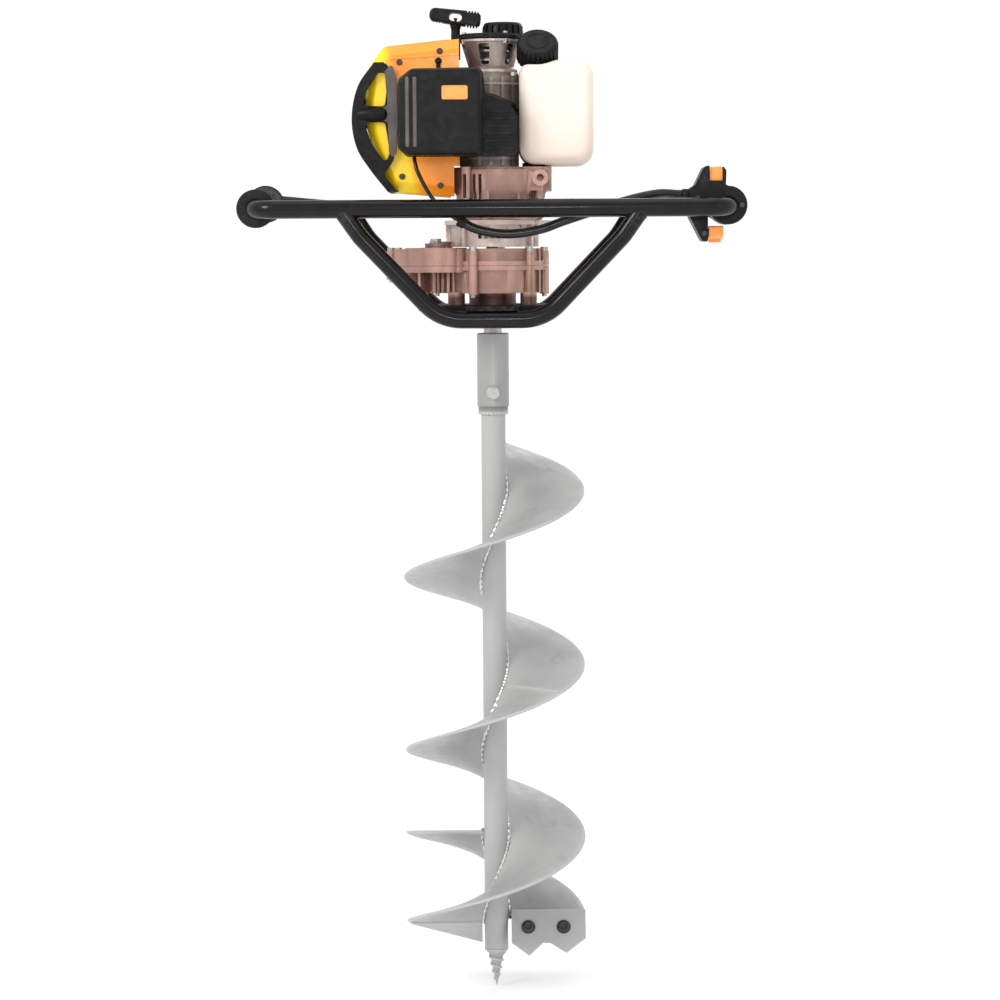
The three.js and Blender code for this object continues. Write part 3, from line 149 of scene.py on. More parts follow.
class Look:
    """A procedural material on a Principled shader, with short calls for its nodes."""

    def __init__(self, name, **settings):
        self.material = bpy.data.materials.new(name)
        self.material.use_nodes = True
        self.nodes = self.material.node_tree.nodes
        self.links = self.material.node_tree.links
        self.shader = self.nodes["Principled BSDF"]
        for socket, value in settings.items():
            self.shader.inputs[socket.replace("_", " ")].default_value = value
        self.place = self.nodes.new("ShaderNodeTexCoord").outputs["Object"]

    def noise(self, scale, detail=3, rough=0.55, stretch=None):
        node = self.nodes.new("ShaderNodeTexNoise")
        node.inputs["Scale"].default_value = scale
        node.inputs["Detail"].default_value = detail
        node.inputs["Roughness"].default_value = rough
        source = self.place
        if stretch:
            mapping = self.nodes.new("ShaderNodeMapping")
            mapping.inputs["Scale"].default_value = stretch
            self.links.new(source, mapping.inputs["Vector"])
            source = mapping.outputs["Vector"]
        self.links.new(source, node.inputs["Vector"])
        return node.outputs["Fac"]

    def waves(self, scale, axis, distortion=0.0):
        node = self.nodes.new("ShaderNodeTexWave")
        node.bands_direction = axis
        node.inputs["Scale"].default_value = scale
        node.inputs["Distortion"].default_value = distortion
        self.links.new(self.place, node.inputs["Vector"])
        return node.outputs["Fac"]

    def ramp(self, source, low, high, start=0.0, end=1.0):
        """A number from source, stretched so that low becomes start and high becomes end."""
        node = self.nodes.new("ShaderNodeMapRange")
        for socket, value in zip(("From Min", "From Max", "To Min", "To Max"), (low, high, start, end)):
            node.inputs[socket].default_value = value
        self.links.new(source, node.inputs["Value"])
        return node.outputs["Result"]

    def mottle(self, scale, detail, low, high, start=0.0, end=1.0):
        return self.ramp(self.noise(scale, detail), low, high, start, end)

    def weaken(self, share, most):
        """A share from 0 to 1, brought down to 0 to most."""
        return self.ramp(share, 0, 1, 0, most)

    def mix(self, share, first, second):
        """A colour between first and second, each a colour or another node's colour."""
        node = self.nodes.new("ShaderNodeMix")
        node.data_type = "RGBA"
        self.links.new(share, node.inputs["Factor"])
        for socket, colour in ((node.inputs[6], first), (node.inputs[7], second)):
            if isinstance(colour, tuple):
                socket.default_value = (*colour, 1)
            else:
                self.links.new(colour, socket)
        return node.outputs[2]

    def edges(self, low, high):
        """1 on outer edges, 0 on flat faces and in corners; it places edge wear and painted edge highlights,
        and, turned round, hollows.
        """
        node = self.nodes.new("ShaderNodeNewGeometry")
        return self.ramp(node.outputs["Pointiness"], low, high)

    def place_along(self, direction, low, high):
        """0 to 1 between two distances, in metres, along a direction of the frame."""
        product = self.nodes.new("ShaderNodeVectorMath")
        product.operation = "DOT_PRODUCT"
        product.inputs[1].default_value = direction
        self.links.new(self.place, product.inputs[0])
        return self.ramp(product.outputs["Value"], low, high)

    def times(self, first, second):
        node = self.nodes.new("ShaderNodeMath")
        node.operation = "MULTIPLY"
        node.use_clamp = True
        self.links.new(first, node.inputs[0])
        self.links.new(second, node.inputs[1])
        return node.outputs["Value"]

    def colour(self, source):
        self.links.new(source, self.shader.inputs["Base Color"])
        return self

    def roughness(self, source):
        self.links.new(source, self.shader.inputs["Roughness"])
        return self

    def bump(self, *layers):
        """Layers are (source, distance in millimetres, strength)."""
        normal = None
        for source, distance, strength in layers:
            node = self.nodes.new("ShaderNodeBump")
            node.inputs["Distance"].default_value = distance * MM
            node.inputs["Strength"].default_value = strength
            self.links.new(source, node.inputs["Height"])
            if normal:
                self.links.new(normal, node.inputs["Normal"])
            normal = node.outputs["Normal"]
        self.links.new(normal, self.shader.inputs["Normal"])
        return self


def black_paint(name="black_powder_coat", coat=0.22, roughness=(0.2, 0.42)):
    look = Look(name, Specular_IOR_Level=0.12, Coat_Weight=coat, Coat_Roughness=0.09)
    dust = look.mottle(38, 5, 0.45, 0.8)
    scuff = look.times(look.edges(0.53, 0.6), look.mottle(160, 4, 0.45, 0.62))
    base = look.mix(dust, (0.003, 0.003, 0.003), (0.008, 0.0075, 0.0075))
    look.colour(look.mix(scuff, base, (0.05, 0.048, 0.046)))
    look.roughness(look.mottle(90, 4, 0.3, 0.75, *roughness))
    return look.bump((look.noise(900, 2), 0.12, 0.25))


def black_plastic():
    look = Look("black_moulded_plastic", Specular_IOR_Level=0.15)
    shade = look.mottle(30, 4, 0.35, 0.75)
    worn = look.times(look.edges(0.52, 0.6), look.mottle(120, 3, 0.4, 0.7))
    base = look.mix(shade, (0.004, 0.0042, 0.0045), (0.0065, 0.0064, 0.0063))
    look.colour(look.mix(worn, base, (0.03, 0.028, 0.027)))
    look.roughness(look.mottle(70, 4, 0.3, 0.7, 0.3, 0.5))
    return look.bump((look.noise(1500, 2), 0.15, 0.5), (look.noise(60, 2), 0.3, 0.15))


def mottled(name, tones, clouds, gloss, grain, **settings):
    """A plain material: two tones in clouds, an uneven gloss and a fine grain."""
    look = Look(name, **settings)
    look.colour(look.mix(look.mottle(*clouds), *tones))
    look.roughness(look.mottle(*gloss))
    scale, detail, distance, strength = grain
    return look.bump((look.noise(scale, detail), distance, strength))


def cast_metal(name, light, dark, roughness, grime_and_shade=0.7, shaded_below=None):
    look = Look(name, Metallic=0.6)
    sand = look.noise(700, 4, 0.65)
    cloud = look.ramp(look.noise(42, 5, 0.6), 0.38, 0.72)
    # Patchy darkening in hollows: part soiling, part painted shade.
    hollow_grime_and_shade = look.times(look.mottle(26, 5, 0.35, 0.75), look.edges(0.52, 0.44))
    # Painted highlight: outer edges are painted a lighter copy of the tone.
    painted_edge_highlight = look.edges(0.51, 0.57)
    base = look.mix(cloud, light, tuple(0.72 * c for c in light))
    base = look.mix(look.weaken(hollow_grime_and_shade, grime_and_shade), base, dark)
    base = look.mix(look.weaken(painted_edge_highlight, 0.6), base, tuple(1.5 * c + 0.04 for c in light))
    # Painted shade: from the given level, in millimetres, down over 5 mm, the colour goes over to the dark
    # tone.
    if shaded_below is not None:
        under_case_shade = look.place_along((0, 0, -1), -shaded_below * MM, (5 - shaded_below) * MM)
        base = look.mix(look.weaken(under_case_shade, 0.85), base, dark)
    look.colour(base)
    look.roughness(look.mottle(110, 4, 0.3, 0.75, *roughness))
    return look.bump((sand, 0.35, 0.55), (look.noise(90, 3), 0.4, 0.25))


def worked_steel(name="zinc_plated_steel", tone=(0.5, 0.49, 0.47), roughness=(0.24, 0.45)):
    look = Look(name, Metallic=0.95)
    cloud = look.mottle(80, 4, 0.35, 0.75)
    look.colour(look.mix(cloud, tone, tuple(0.6 * c for c in tone)))
    look.roughness(look.ramp(look.noise(220, 4, 0.6, (1, 1, 6)), 0.3, 0.7, *roughness))
    return look.bump((look.noise(1100, 3, 0.6, (1, 1, 8)), 0.08, 0.35))


def muffler_steel():
    look = Look("heat_tinted_steel", Metallic=0.85)
    heat = look.place_along((1, 0, 0), -0.1, -0.035)
    base = look.mix(heat, (0.3, 0.22, 0.15), (0.2, 0.19, 0.2))
    soot = look.mottle(55, 5, 0.45, 0.75)
    look.colour(look.mix(soot, base, (0.07, 0.06, 0.055)))
    look.roughness(look.mottle(140, 4, 0.3, 0.75, 0.34, 0.62))
    return look.bump((look.noise(400, 4), 0.25, 0.4))


def shroud_plastic():
    """Glossy plastic in painted light: a lit lemon yellow at the plug end and a shaded amber from there to
    the crankcase.
    """
    look = Look("yellow_gloss_plastic", Specular_IOR_Level=0.3, Coat_Weight=0.3, Coat_Roughness=0.12)
    # Painted light: the plug-end side is painted as a lit lemon copy, the rest as a shaded amber copy.
    lit_flank = look.place_along((-1, 0, -0.234), 0.069, 0.081)
    lemon = look.mix(look.mottle(30, 3, 0.3, 0.7), (0.96, 0.66, 0.012), (0.9, 0.56, 0.01))
    amber = look.mix(look.mottle(30, 3, 0.3, 0.7), (0.97, 0.31, 0.012), (0.9, 0.26, 0.01))
    # Patchy brown darkening in hollows: part soiling, part painted shade.
    grime_and_shade = look.times(look.mottle(24, 5, 0.5, 0.8), look.edges(0.51, 0.46))
    base = look.mix(lit_flank, amber, lemon)
    look.colour(look.mix(look.weaken(grime_and_shade, 0.5), base, (0.3, 0.13, 0.02)))
    look.roughness(look.mottle(120, 3, 0.3, 0.75, 0.22, 0.4))
    return look.bump((look.noise(1000, 2), 0.08, 0.25), (look.noise(16, 2), 0.5, 0.12))


def tank_plastic():
    """Milky blown plastic, with faint painted shade: pinker and darker over its lower part."""
    look = Look(
        "milky_tank_plastic",
        Subsurface_Weight=0.25,
        Subsurface_Scale=0.008,
        Subsurface_Radius=(1.0, 0.7, 0.5),
        Coat_Weight=0.15,
        Coat_Roughness=0.25,
    )
    cloud = look.mottle(22, 4, 0.35, 0.75)
    base = look.mix(cloud, (0.77, 0.7, 0.62), (0.74, 0.66, 0.58))
    low, high = (corner * MM for corner in span("fuel_tank"))
    # Painted shade: pinker and darker over the lower part.
    lower_shade = look.place_along((0, 0, -1), -(low.z + 0.45 * (high.z - low.z)), -low.z)
    look.colour(look.mix(look.weaken(lower_shade, 0.7), base, (0.74, 0.58, 0.5)))
    look.roughness(look.mottle(90, 3, 0.3, 0.7, 0.34, 0.52))
    return look.bump((look.noise(700, 2), 0.12, 0.3), (look.noise(28, 2), 0.9, 0.25))


def drill_paint(name, light, dark):
    """Light grey enamel, brushed by ice at the rims, with a few darker rubs."""
    look = Look(name, Metallic=0.1, Coat_Weight=0.2, Coat_Roughness=0.25)
    cloud = look.ramp(look.noise(14, 5, 0.6), 0.35, 0.72)
    base = look.mix(cloud, light, dark)
    rub = look.ramp(look.noise(36, 6, 0.7, (1, 1, 0.4)), 0.56, 0.78)
    base = look.mix(look.weaken(rub, 0.45), base, (0.15, 0.148, 0.15))
    look.colour(look.mix(look.weaken(look.edges(0.51, 0.58), 0.6), base, (0.5, 0.5, 0.5)))
    look.roughness(look.mottle(80, 4, 0.3, 0.75, 0.36, 0.6))
    return look.bump((look.noise(800, 3), 0.12, 0.35), (look.noise(120, 3), 0.3, 0.2))


def braided_cord():
    look = Look("braided_cord", Sheen_Weight=0.4, Sheen_Roughness=0.5)
    strands = look.waves(520, "DIAGONAL", 0.6)
    look.colour(look.mix(strands, (0.01, 0.01, 0.011), (0.05, 0.048, 0.046)))
    look.roughness(look.ramp(strands, 0, 1, 0.6, 0.85))
    return look.bump((strands, 0.4, 0.8))


LOOKS = {
    "black_paint": black_paint(),
    # Painted light: the flights get a lighter, lit copy of the drill's one grey enamel.
    "drill_paint": drill_paint("lit_light_grey_enamel", (0.35, 0.35, 0.348), (0.3, 0.3, 0.303)),
    # Painted shade darkens the feet below the case's floor, over the plate.
    "case_aluminium": cast_metal(
        "warm_cast_aluminium", (0.34, 0.2, 0.16), (0.07, 0.03, 0.024), (0.26, 0.46), shaded_below=-92
    ),
    "bright_aluminium": cast_metal(
        "bright_cast_aluminium", (0.38, 0.315, 0.285), (0.04, 0.03, 0.026), (0.25, 0.45)
    ),
    "steel": worked_steel(),
    "iron": cast_metal("cast_iron", (0.13, 0.125, 0.12), (0.03, 0.025, 0.02), (0.45, 0.7)),
    "rubber": mottled(
        "black_rubber", ((0.005, 0.005, 0.005), (0.018, 0.01746, 0.01674)), (45, 5, 0.35, 0.75),
        (200, 3, 0.3, 0.7, 0.55, 0.85), (1200, 3, 0.2, 0.6), Specular_IOR_Level=0.25,
    ),
    "black_plastic": black_plastic(),
    "yellow_plastic": shroud_plastic(),
    "orange_plastic": mottled(
        "orange_moulded_plastic", ((0.9, 0.3, 0.045), (0.72, 0.21, 0.03)), (60, 4, 0.35, 0.75),
        (180, 3, 0.3, 0.7, 0.32, 0.5), (1300, 2, 0.12, 0.4), Coat_Weight=0.2, Coat_Roughness=0.2,
    ),
    "tank_plastic": tank_plastic(),
    "ceramic": mottled(
        "glazed_ceramic", ((0.8, 0.78, 0.74), (0.7, 0.67, 0.6)), (120, 4, 0.35, 0.75),
        (300, 3, 0.3, 0.7, 0.15, 0.3), (600, 2, 0.08, 0.3), Coat_Weight=0.6, Coat_Roughness=0.08,
    ),
    "cord": braided_cord(),
}
PLATE_PAINT = black_paint("dull_black_paint", 0.0, (0.5, 0.7))
HOSE = mottled(
    "glossy_cable_sheath", ((0.005, 0.005, 0.005), (0.014, 0.014, 0.014)), (60, 4, 0.4, 0.75),
    (150, 3, 0.3, 0.7, 0.22, 0.4), (500, 2, 0.1, 0.25),
    Specular_IOR_Level=0.2, Coat_Weight=0.3, Coat_Roughness=0.12,
)
MUFFLER_STEEL = muffler_steel()
DARK_STEEL = worked_steel("blackened_steel", (0.07, 0.066, 0.062), (0.35, 0.55))
WELD_STEEL = worked_steel("brushed_weld", (0.62, 0.61, 0.6), (0.2, 0.4))
# The black plastic in a dull brown-grey: a painted highlight on the filter cover's ridges and the guard's
# leg.
HIGHLIT_PLASTIC = mottled(
    "highlit_plastic", ((0.1, 0.082, 0.076), (0.05, 0.042, 0.04)), (45, 4, 0.35, 0.75),
    (80, 4, 0.3, 0.7, 0.28, 0.45), (1400, 2, 0.15, 0.5), Specular_IOR_Level=0.4,
)
# Painted shade: the tube and sleeve get a darker, shaded copy of the drill's one grey enamel, to even out the
# light on the upright tube against the flat spirals.
SHADED_TUBE_PAINT = drill_paint("shaded_grey_tube_enamel", (0.172, 0.172, 0.17), (0.142, 0.142, 0.144))
# Painted light: the clutch bell is a paler, lit copy of the case's cast aluminium.
LIT_BELL_METAL = cast_metal(
    "lit_pale_cast_aluminium", (0.62, 0.5, 0.46), (0.1, 0.06, 0.05), (0.24, 0.42), grime_and_shade=0.5
)
DULL_METAL = cast_metal("dull_cast_aluminium", (0.2, 0.165, 0.145), (0.03, 0.022, 0.02), (0.3, 0.5))


# ------------------------------------------------------------ shapes

HEAD_SIDES = 24
SAME_PLACE = 1e-6


class Solid:
    """Closed shapes: corner points in millimetres, and faces. They add up with +."""

    def __init__(self, points, faces):
        self.points = [Vector(p) for p in points]
        self.faces = faces

    def __add__(self, other):
        first = len(self.points)
        shifted = [tuple(first + i for i in face) for face in other.faces]
        return Solid(self.points + other.points, list(self.faces) + shifted)

    def moved(self, matrix):
        return Solid([matrix @ p for p in self.points], self.faces)

    def shifted(self, x=0.0, y=0.0, z=0.0):
        return self.moved(Matrix.Translation((x, y, z)))

    def turned(self, degrees, axis, about=(0, 0, 0)):
        centre = Matrix.Translation(about)
        turn = Matrix.Rotation(math.radians(degrees), 4, axis)
        return self.moved(centre @ turn @ centre.inverted())


def together(solids):
    solids = list(solids)
    return sum(solids[1:], solids[0])


def loft(rings, closed=False):
    """Skins rings of equal numbers of points. A closed loft joins its last ring to its first."""
    count = len(rings[0])
    faces = []
    for i in range(len(rings) if closed else len(rings) - 1):
        a, b = i * count, (i + 1) % len(rings) * count
        for j in range(count):
            k = (j + 1) % count
            faces.append((a + j, a + k, b + k, b + j))
    if not closed:
        last = (len(rings) - 1) * count
        faces.append(tuple(reversed(range(count))))
        faces.append(tuple(range(last, last + count)))
    return Solid([p for ring in rings for p in ring], faces)


def polar(radius, angle):
    return radius * math.cos(angle), radius * math.sin(angle)


def circle(radius, sides):
    return [polar(radius, TURN * i / sides) for i in range(sides)]


def rectangle(left, right, bottom, top):
    return [(left, bottom), (right, bottom), (right, top), (left, top)]


def prism(outline, axis, start, end):
    """An outline drawn in the two other axes, in the frame's order, between two levels."""
    place = {
        "X": lambda u, v, w: (w, u, v),
        "Y": lambda u, v, w: (u, w, v),
        "Z": lambda u, v, w: (u, v, w),
    }[axis]
    return loft([[place(u, v, w) for u, v in outline] for w in (start, end)])


def box(x, y, z):
    return prism(rectangle(*x, *y), "Z", *z)


def slab(corners, radius, axis, start, end, steps=5):
    """A prism with rounded corners."""
    return prism(rounded(corners, radius, steps), axis, start, end)


def layers(outlines):
    """Skins outlines drawn in X and Z, each given with its Y."""
    return loft([[(x, y, z) for x, z in outline] for outline, y in outlines])


def stepped(outline, steps, radius, arc_steps=6):
    """A rounded outline skinned through steps: how far it is set in, and at which Y."""
    return layers((rounded(inset(outline, depth), radius, arc_steps), y) for depth, y in steps)


def axes_along(direction):
    """Two axes square to a direction."""
    forward = Vector(direction).normalized()
    side = forward.orthogonal().normalized()
    return side, forward.cross(side)


def across(outline, centre, side, up):
    """An outline drawn along two axes, round a centre."""
    return [centre + u * side + v * up for u, v in outline]


def rod(radius, start, end, sides=32):
    start, end = Vector(start), Vector(end)
    side, up = axes_along(end - start)
    return loft([across(circle(radius, sides), centre, side, up) for centre in (start, end)])


def post(radius, x, y, bottom, top, sides=48):
    """An upright rod."""
    return rod(radius, (x, y, bottom), (x, y, top), sides)


def pin(radius, x, z, start, end, sides):
    """A rod along Y."""
    return rod(radius, (x, start, z), (x, end, z), sides)


def turned_ring(profile, sides=64, axis=(0, 0, 1), centre=(0, 0, 0)):
    """A section of (radius, height) corners turned about an axis. Its two ends may be on it."""
    forward = Vector(axis).normalized()
    side, up = axes_along(forward)
    if abs(forward.z) > 0.999:
        side, up = Vector((1, 0, 0)), Vector((0, 1, 0)) * (1 if forward.z > 0 else -1)
    rings = []
    for i in range(sides):
        arm = math.cos(TURN * i / sides) * side + math.sin(TURN * i / sides) * up
        rings.append([Vector(centre) + r * arm + h * forward for r, h in profile])
    return loft(rings, closed=True)


def rounded(corners, radius, steps=5, closed=True):
    """Corners in 2-D or 3-D, each replaced by an arc of that radius where there is room."""
    points = [Vector(c).to_3d() if len(c) == 2 else Vector(c) for c in corners]
    flat = len(corners[0]) == 2
    radii = radius if isinstance(radius, (list, tuple)) else [radius] * len(points)
    path = []
    for i, corner in enumerate(points):
        if not closed and i in (0, len(points) - 1):
            path.append(corner)
            continue
        back = points[i - 1] - corner
        ahead = points[(i + 1) % len(points)] - corner
        half = back.angle(ahead) / 2
        room = 0.49 * min(back.length, ahead.length)
        cut_back = min(radii[i] / math.tan(half), room)
        bend = cut_back * math.tan(half)
        back.normalize()
        ahead.normalize()
        toward = (back + ahead).normalized()
        centre = corner + toward * (bend / math.sin(half))
        first = corner + back * cut_back - centre
        last = corner + ahead * cut_back - centre
        for step in range(steps + 1):
            path.append(centre + bend * first.slerp(last, step / steps).normalized())
    return [(p.x, p.y) for p in path] if flat else path


def inset(corners, distance):
    """A convex outline, listed anticlockwise or clockwise, with each side moved inwards."""
    points = [Vector(c) for c in corners]
    middle = sum(points, Vector((0, 0))) / len(points)
    lines = []
    for i, a in enumerate(points):
        along = (points[(i + 1) % len(points)] - a).normalized()
        normal = Vector((-along.y, along.x))
        if normal.dot(middle - a) < 0:
            normal.negate()
        lines.append((a + distance * normal, along))
    moved = []
    for i, (p, d) in enumerate(lines):
        q, e = lines[i - 1]
        cross = e.x * d.y - e.y * d.x
        t = ((p - q).x * d.y - (p - q).y * d.x) / cross
        moved.append(tuple(q + t * e))
    return moved


def sweep(path, radius, sides=24, closed=False):
    """A round bar along a path. The radius is a number, or a function of the share of its length."""
    path = [Vector(p) for p in path]
    count = len(path)
    at = radius if callable(radius) else lambda share: radius
    side = None
    rings = []
    for i, point in enumerate(path):
        before = path[i - 1] if closed or i else path[0]
        after = path[(i + 1) % count] if closed or i < count - 1 else path[-1]
        forward = (after - before).normalized()
        side = forward.orthogonal() if side is None else side - side.dot(forward) * forward
        side = side.normalized()
        up = forward.cross(side)
        rings.append(across(circle(at(i / max(count - 1, 1)), sides), point, side, up))
    return loft(rings, closed=closed)


def spline(points, steps=8):
    """A smooth path through points."""
    points = [Vector(p) for p in points]
    ends = [2 * points[0] - points[1], *points, 2 * points[-1] - points[-2]]
    path = []
    for a, b, c, d in zip(ends, ends[1:], ends[2:], ends[3:]):
        for step in range(steps):
            t = step / steps
            curve = (2 * a - 5 * b + 4 * c - d) * t**2 + (3 * b - a - 3 * c + d) * t**3
            path.append(0.5 * (2 * b + (c - a) * t + curve))
    return path + [points[-1]]


def clean(mesh, merge):
    """Merges points closer than a distance, drops what that leaves over, and turns faces outwards."""
    edit = bmesh.new()
    edit.from_mesh(mesh)
    bmesh.ops.remove_doubles(edit, verts=edit.verts, dist=merge)
    bmesh.ops.dissolve_degenerate(edit, edges=edit.edges, dist=SAME_PLACE)
    loose = [v for v in edit.verts if not v.link_faces]
    bmesh.ops.delete(edit, geom=loose, context="VERTS")
    bmesh.ops.recalc_face_normals(edit, faces=edit.faces)
    edit.to_mesh(mesh)
    edit.free()


def mesh_of(name, solid, merge=SAME_PLACE):
    mesh = bpy.data.meshes.new(name)
    mesh.from_pydata([p * MM for p in solid.points], [], solid.faces)
    clean(mesh, merge)
    return mesh


def combine(operation, base, *tools):
    """The base joined with, or cut by, the tools, which may overlap each other."""
    holder = add_object("base", mesh_of("base", base))
    helpers = [add_object("tool", mesh_of("tool", tool)) for tool in tools]
    for helper in helpers:
        step = holder.modifiers.new("step", "BOOLEAN")
        step.operation = operation
        step.solver = "EXACT"
        step.object = helper
    graph = bpy.context.evaluated_depsgraph_get()
    result = bpy.data.meshes.new_from_object(holder.evaluated_get(graph))
    solid = Solid([v.co / MM for v in result.vertices], [tuple(p.vertices) for p in result.polygons])
    for helper in [holder, *helpers]:
        bpy.data.objects.remove(helper)
    return solid


def cut(base, *tools):
    return combine("DIFFERENCE", base, *tools)


def join(base, *others):
    return combine("UNION", base, *others)


def round_edges(piece, width, segments, sharp):
    """Bevels the edges that turn by more than an angle in degrees, to a width in millimetres."""
    edge = piece.modifiers.new("edges", "BEVEL")
    edge.width = width * MM
    edge.segments = segments
    edge.limit_method = "ANGLE"
    edge.angle_limit = math.radians(sharp)
    return edge


def place(
    name, solid, slot, body="powerhead", replaces=None, look=None, bevel=0.0, sharp=38, merge=SAME_PLACE
):
    """Makes a solid into a piece that rides on a body, with its rounded edges and its material."""
    mesh = mesh_of(name, solid, merge)
    piece = add_object(name, mesh)
    mesh.polygons.foreach_set("use_smooth", [True] * len(mesh.polygons))
    if bevel:
        round_edges(piece, bevel, 2, sharp).miter_outer = "MITER_ARC"
        even = piece.modifiers.new("even_shading", "WEIGHTED_NORMAL")
        even.keep_sharp = True
    else:
        mesh.set_sharp_from_angle(angle=math.radians(sharp))
    mesh.materials.append((look or LOOKS[slot]).material)
    if replaces:
        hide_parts(replaces)
    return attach(piece, body)


def hexagon_head(centre, direction, width, height):
    """A hexagon head with a washer face under it, standing on centre."""
    centre, forward = Vector(centre), Vector(direction).normalized()
    washer = rod(width * 0.62, centre, centre + forward * 1.2, 24)
    head = rod(width * 0.577, centre + forward * 1.2, centre + forward * height, 6)
    return washer + head


def socket_head(centre, direction, radius, height):
    """A cap screw's head with its hexagon socket."""
    forward = Vector(direction).normalized()
    side, up = axes_along(forward)
    base, top = Vector(centre), Vector(centre) + forward * height
    outer = [across(circle(radius, HEAD_SIDES), c, side, up) for c in (base, top)]
    rim = across(hexagon_points(radius * 0.55), top, side, up)
    floor = [p - forward * height * 0.6 for p in rim]
    return loft([*outer, rim, floor])


def hexagon_points(radius):
    """A hexagon listed with as many points as a head's circle, so that the two can be skinned."""
    corners = [Vector(c) for c in circle(radius, 6)]
    per_side = HEAD_SIDES // 6
    listed = []
    for a, b in zip(corners, [*corners[1:], corners[0]]):
        listed += [tuple(a.lerp(b, step / per_side)) for step in range(per_side)]
    return listed


# ------------------------------------------------------------ tube frame

LOOP_HALF_WIDTH = (span("left_grip")[0].x + span("left_grip")[1].x) / -2
LOOP_RADIUS = 10
LOOP_HALF_DEPTH = -span("front_tube")[0].y - LOOP_RADIUS
LOOP_BEND = 24
REAR_CORNER_RISE = 10
REAR_RUN_Z = 2
REAR_DROP_X = 175
GRIP_RADIUS = 21
GRIP_CLIMB = math.degrees(math.atan2(REAR_CORNER_RISE, 2 * LOOP_HALF_DEPTH))
VEE_RADIUS = 9.3
VEE_TOP_X = 163
VEE_KNEE = (142, -30)
VEE_BOTTOM = (56, -120)


def grip_height(y):
    return REAR_CORNER_RISE * (y + LOOP_HALF_DEPTH) / (2 * LOOP_HALF_DEPTH)


def weld_ring(leg_end, leg_start, run):
    """A weld bead where a leg of the vee runs into the loop's tube, which lies along X."""
    run = Vector((0, *run))
    along = (Vector(leg_end) - Vector(leg_start)).normalized()
    side, up = axes_along(along)
    path = []
    for u, v in circle(VEE_RADIUS - 1.8, 40):
        start = Vector(leg_start) + u * side + v * up - run
        a = along.y**2 + along.z**2
        b = start.y * along.y + start.z * along.z
        c = start.y**2 + start.z**2 - (LOOP_RADIUS + 0.3) ** 2
        root = max(b * b - a * c, 0.0)
        path.append(start + along * ((-b - math.sqrt(root)) / a) + run)
    return sweep(path, lambda share: 1.9 + 0.45 * math.sin(share * TURN * 17), 8, closed=True)


def build_loop():
    w, d = LOOP_HALF_WIDTH, LOOP_HALF_DEPTH
    middle = grip_height(0)
    front = [(-w, 0, middle), (-w, -d, 0), (w, -d, 0), (w, 0, middle)]
    front = rounded(front, LOOP_BEND, 12, closed=False)
    place("handle_front", sweep(front, LOOP_RADIUS, 32), "black_paint", replaces="front_tube")
    rear = [
        (-w, 0.3, middle), (-w, d, REAR_CORNER_RISE), (-REAR_DROP_X, d, REAR_RUN_Z),
        (REAR_DROP_X, d, REAR_RUN_Z), (w, d, REAR_CORNER_RISE), (w, 0.3, middle),
    ]
    rear = rounded(rear, [0, LOOP_BEND, 60, 60, LOOP_BEND, 0], 12, closed=False)
    place("handle_rear", sweep(rear, LOOP_RADIUS, 32), "black_paint", replaces="rear_tube")


def build_vee(name, node, y, run_z):
    corners = [(VEE_TOP_X, y, run_z), (VEE_KNEE[0], y, VEE_KNEE[1]), (VEE_BOTTOM[0], y, VEE_BOTTOM[1])]
    left = [(-x, y, z) for x, y, z in corners]
    right = list(reversed(corners))
    legs = sweep(rounded(left + right, 55, 12, closed=False), VEE_RADIUS, 32)
    beads = [weld_ring(leg[0], leg[1], (y, run_z)) for leg in (left, corners)]
    place(name, together([legs, *beads]), "black_paint", replaces=node)


def build_grip(name, node, x):
    """A rubber sleeve: a collar at each end and shallow rings between them."""
    low, high = span(node)
    start, length = low.y, high.y - low.y
    inner, collar, r = LOOP_RADIUS + 0.4, 5, GRIP_RADIUS
    profile = [(inner, 0), (r - 1.5, 0), (r, 1.5), (r, collar)]
    rings = int((length - 2 * collar) / 5.5)
    pitch = (length - 2 * collar) / rings
    for i in range(rings):
        z = collar + i * pitch
        profile += [(r - 2.6, z + 0.8), (r - 2.6, z + 1.4), (r - 1.1, z + 2.2), (r - 1.1, z + pitch - 0.6)]
    profile += [(r, length - collar), (r, length - 1.5), (r - 1.5, length), (inner, length)]
    sleeve = turned_ring(profile, 56, (0, 1, 0))
    sleeve = sleeve.turned(GRIP_CLIMB, "X").shifted(x, start, grip_height(start))
    place(name, sleeve, "rubber", replaces=node, sharp=50)


def build_plate():
    low, high = span("mounting_plate")
    reach, waist = LOOP_HALF_DEPTH + 6, LOOP_HALF_DEPTH - VEE_RADIUS - 3
    outline = [
        (-28, -reach), (28, -reach), (28, -waist), (66, -waist), (66, waist), (28, waist),
        (28, reach), (-28, reach), (-28, waist), (-80, waist), (-80, -waist), (-28, -waist),
    ]
    holes = [post(7, x, y, low.z - 5, high.z + 5, 32) for x in (-62, 54) for y in (-60, 60)]
    plate = cut(slab(outline, 6, "Z", low.z, high.z, 4), post(27, 0, 0, low.z - 5, high.z + 5), *holes)
    beads = []
    for y in (-LOOP_HALF_DEPTH, LOOP_HALF_DEPTH):
        edge = y - math.copysign(VEE_RADIUS, y) * 0.72
        beads.append(weld_line((-27, edge, low.z - 1.5), (27, edge, low.z - 1.5), 1.7))
    place("gearbox_plate", plate, "black_paint", replaces="mounting_plate", look=PLATE_PAINT, bevel=0.9)
    place("plate_welds", together(beads), "black_paint")
    heads = [hexagon_head((x, y, low.z), (0, 0, -1), 10, 6.4) for x, y in FEET]
    place("plate_bolts", together(heads), "steel", look=DARK_STEEL, bevel=0.4)


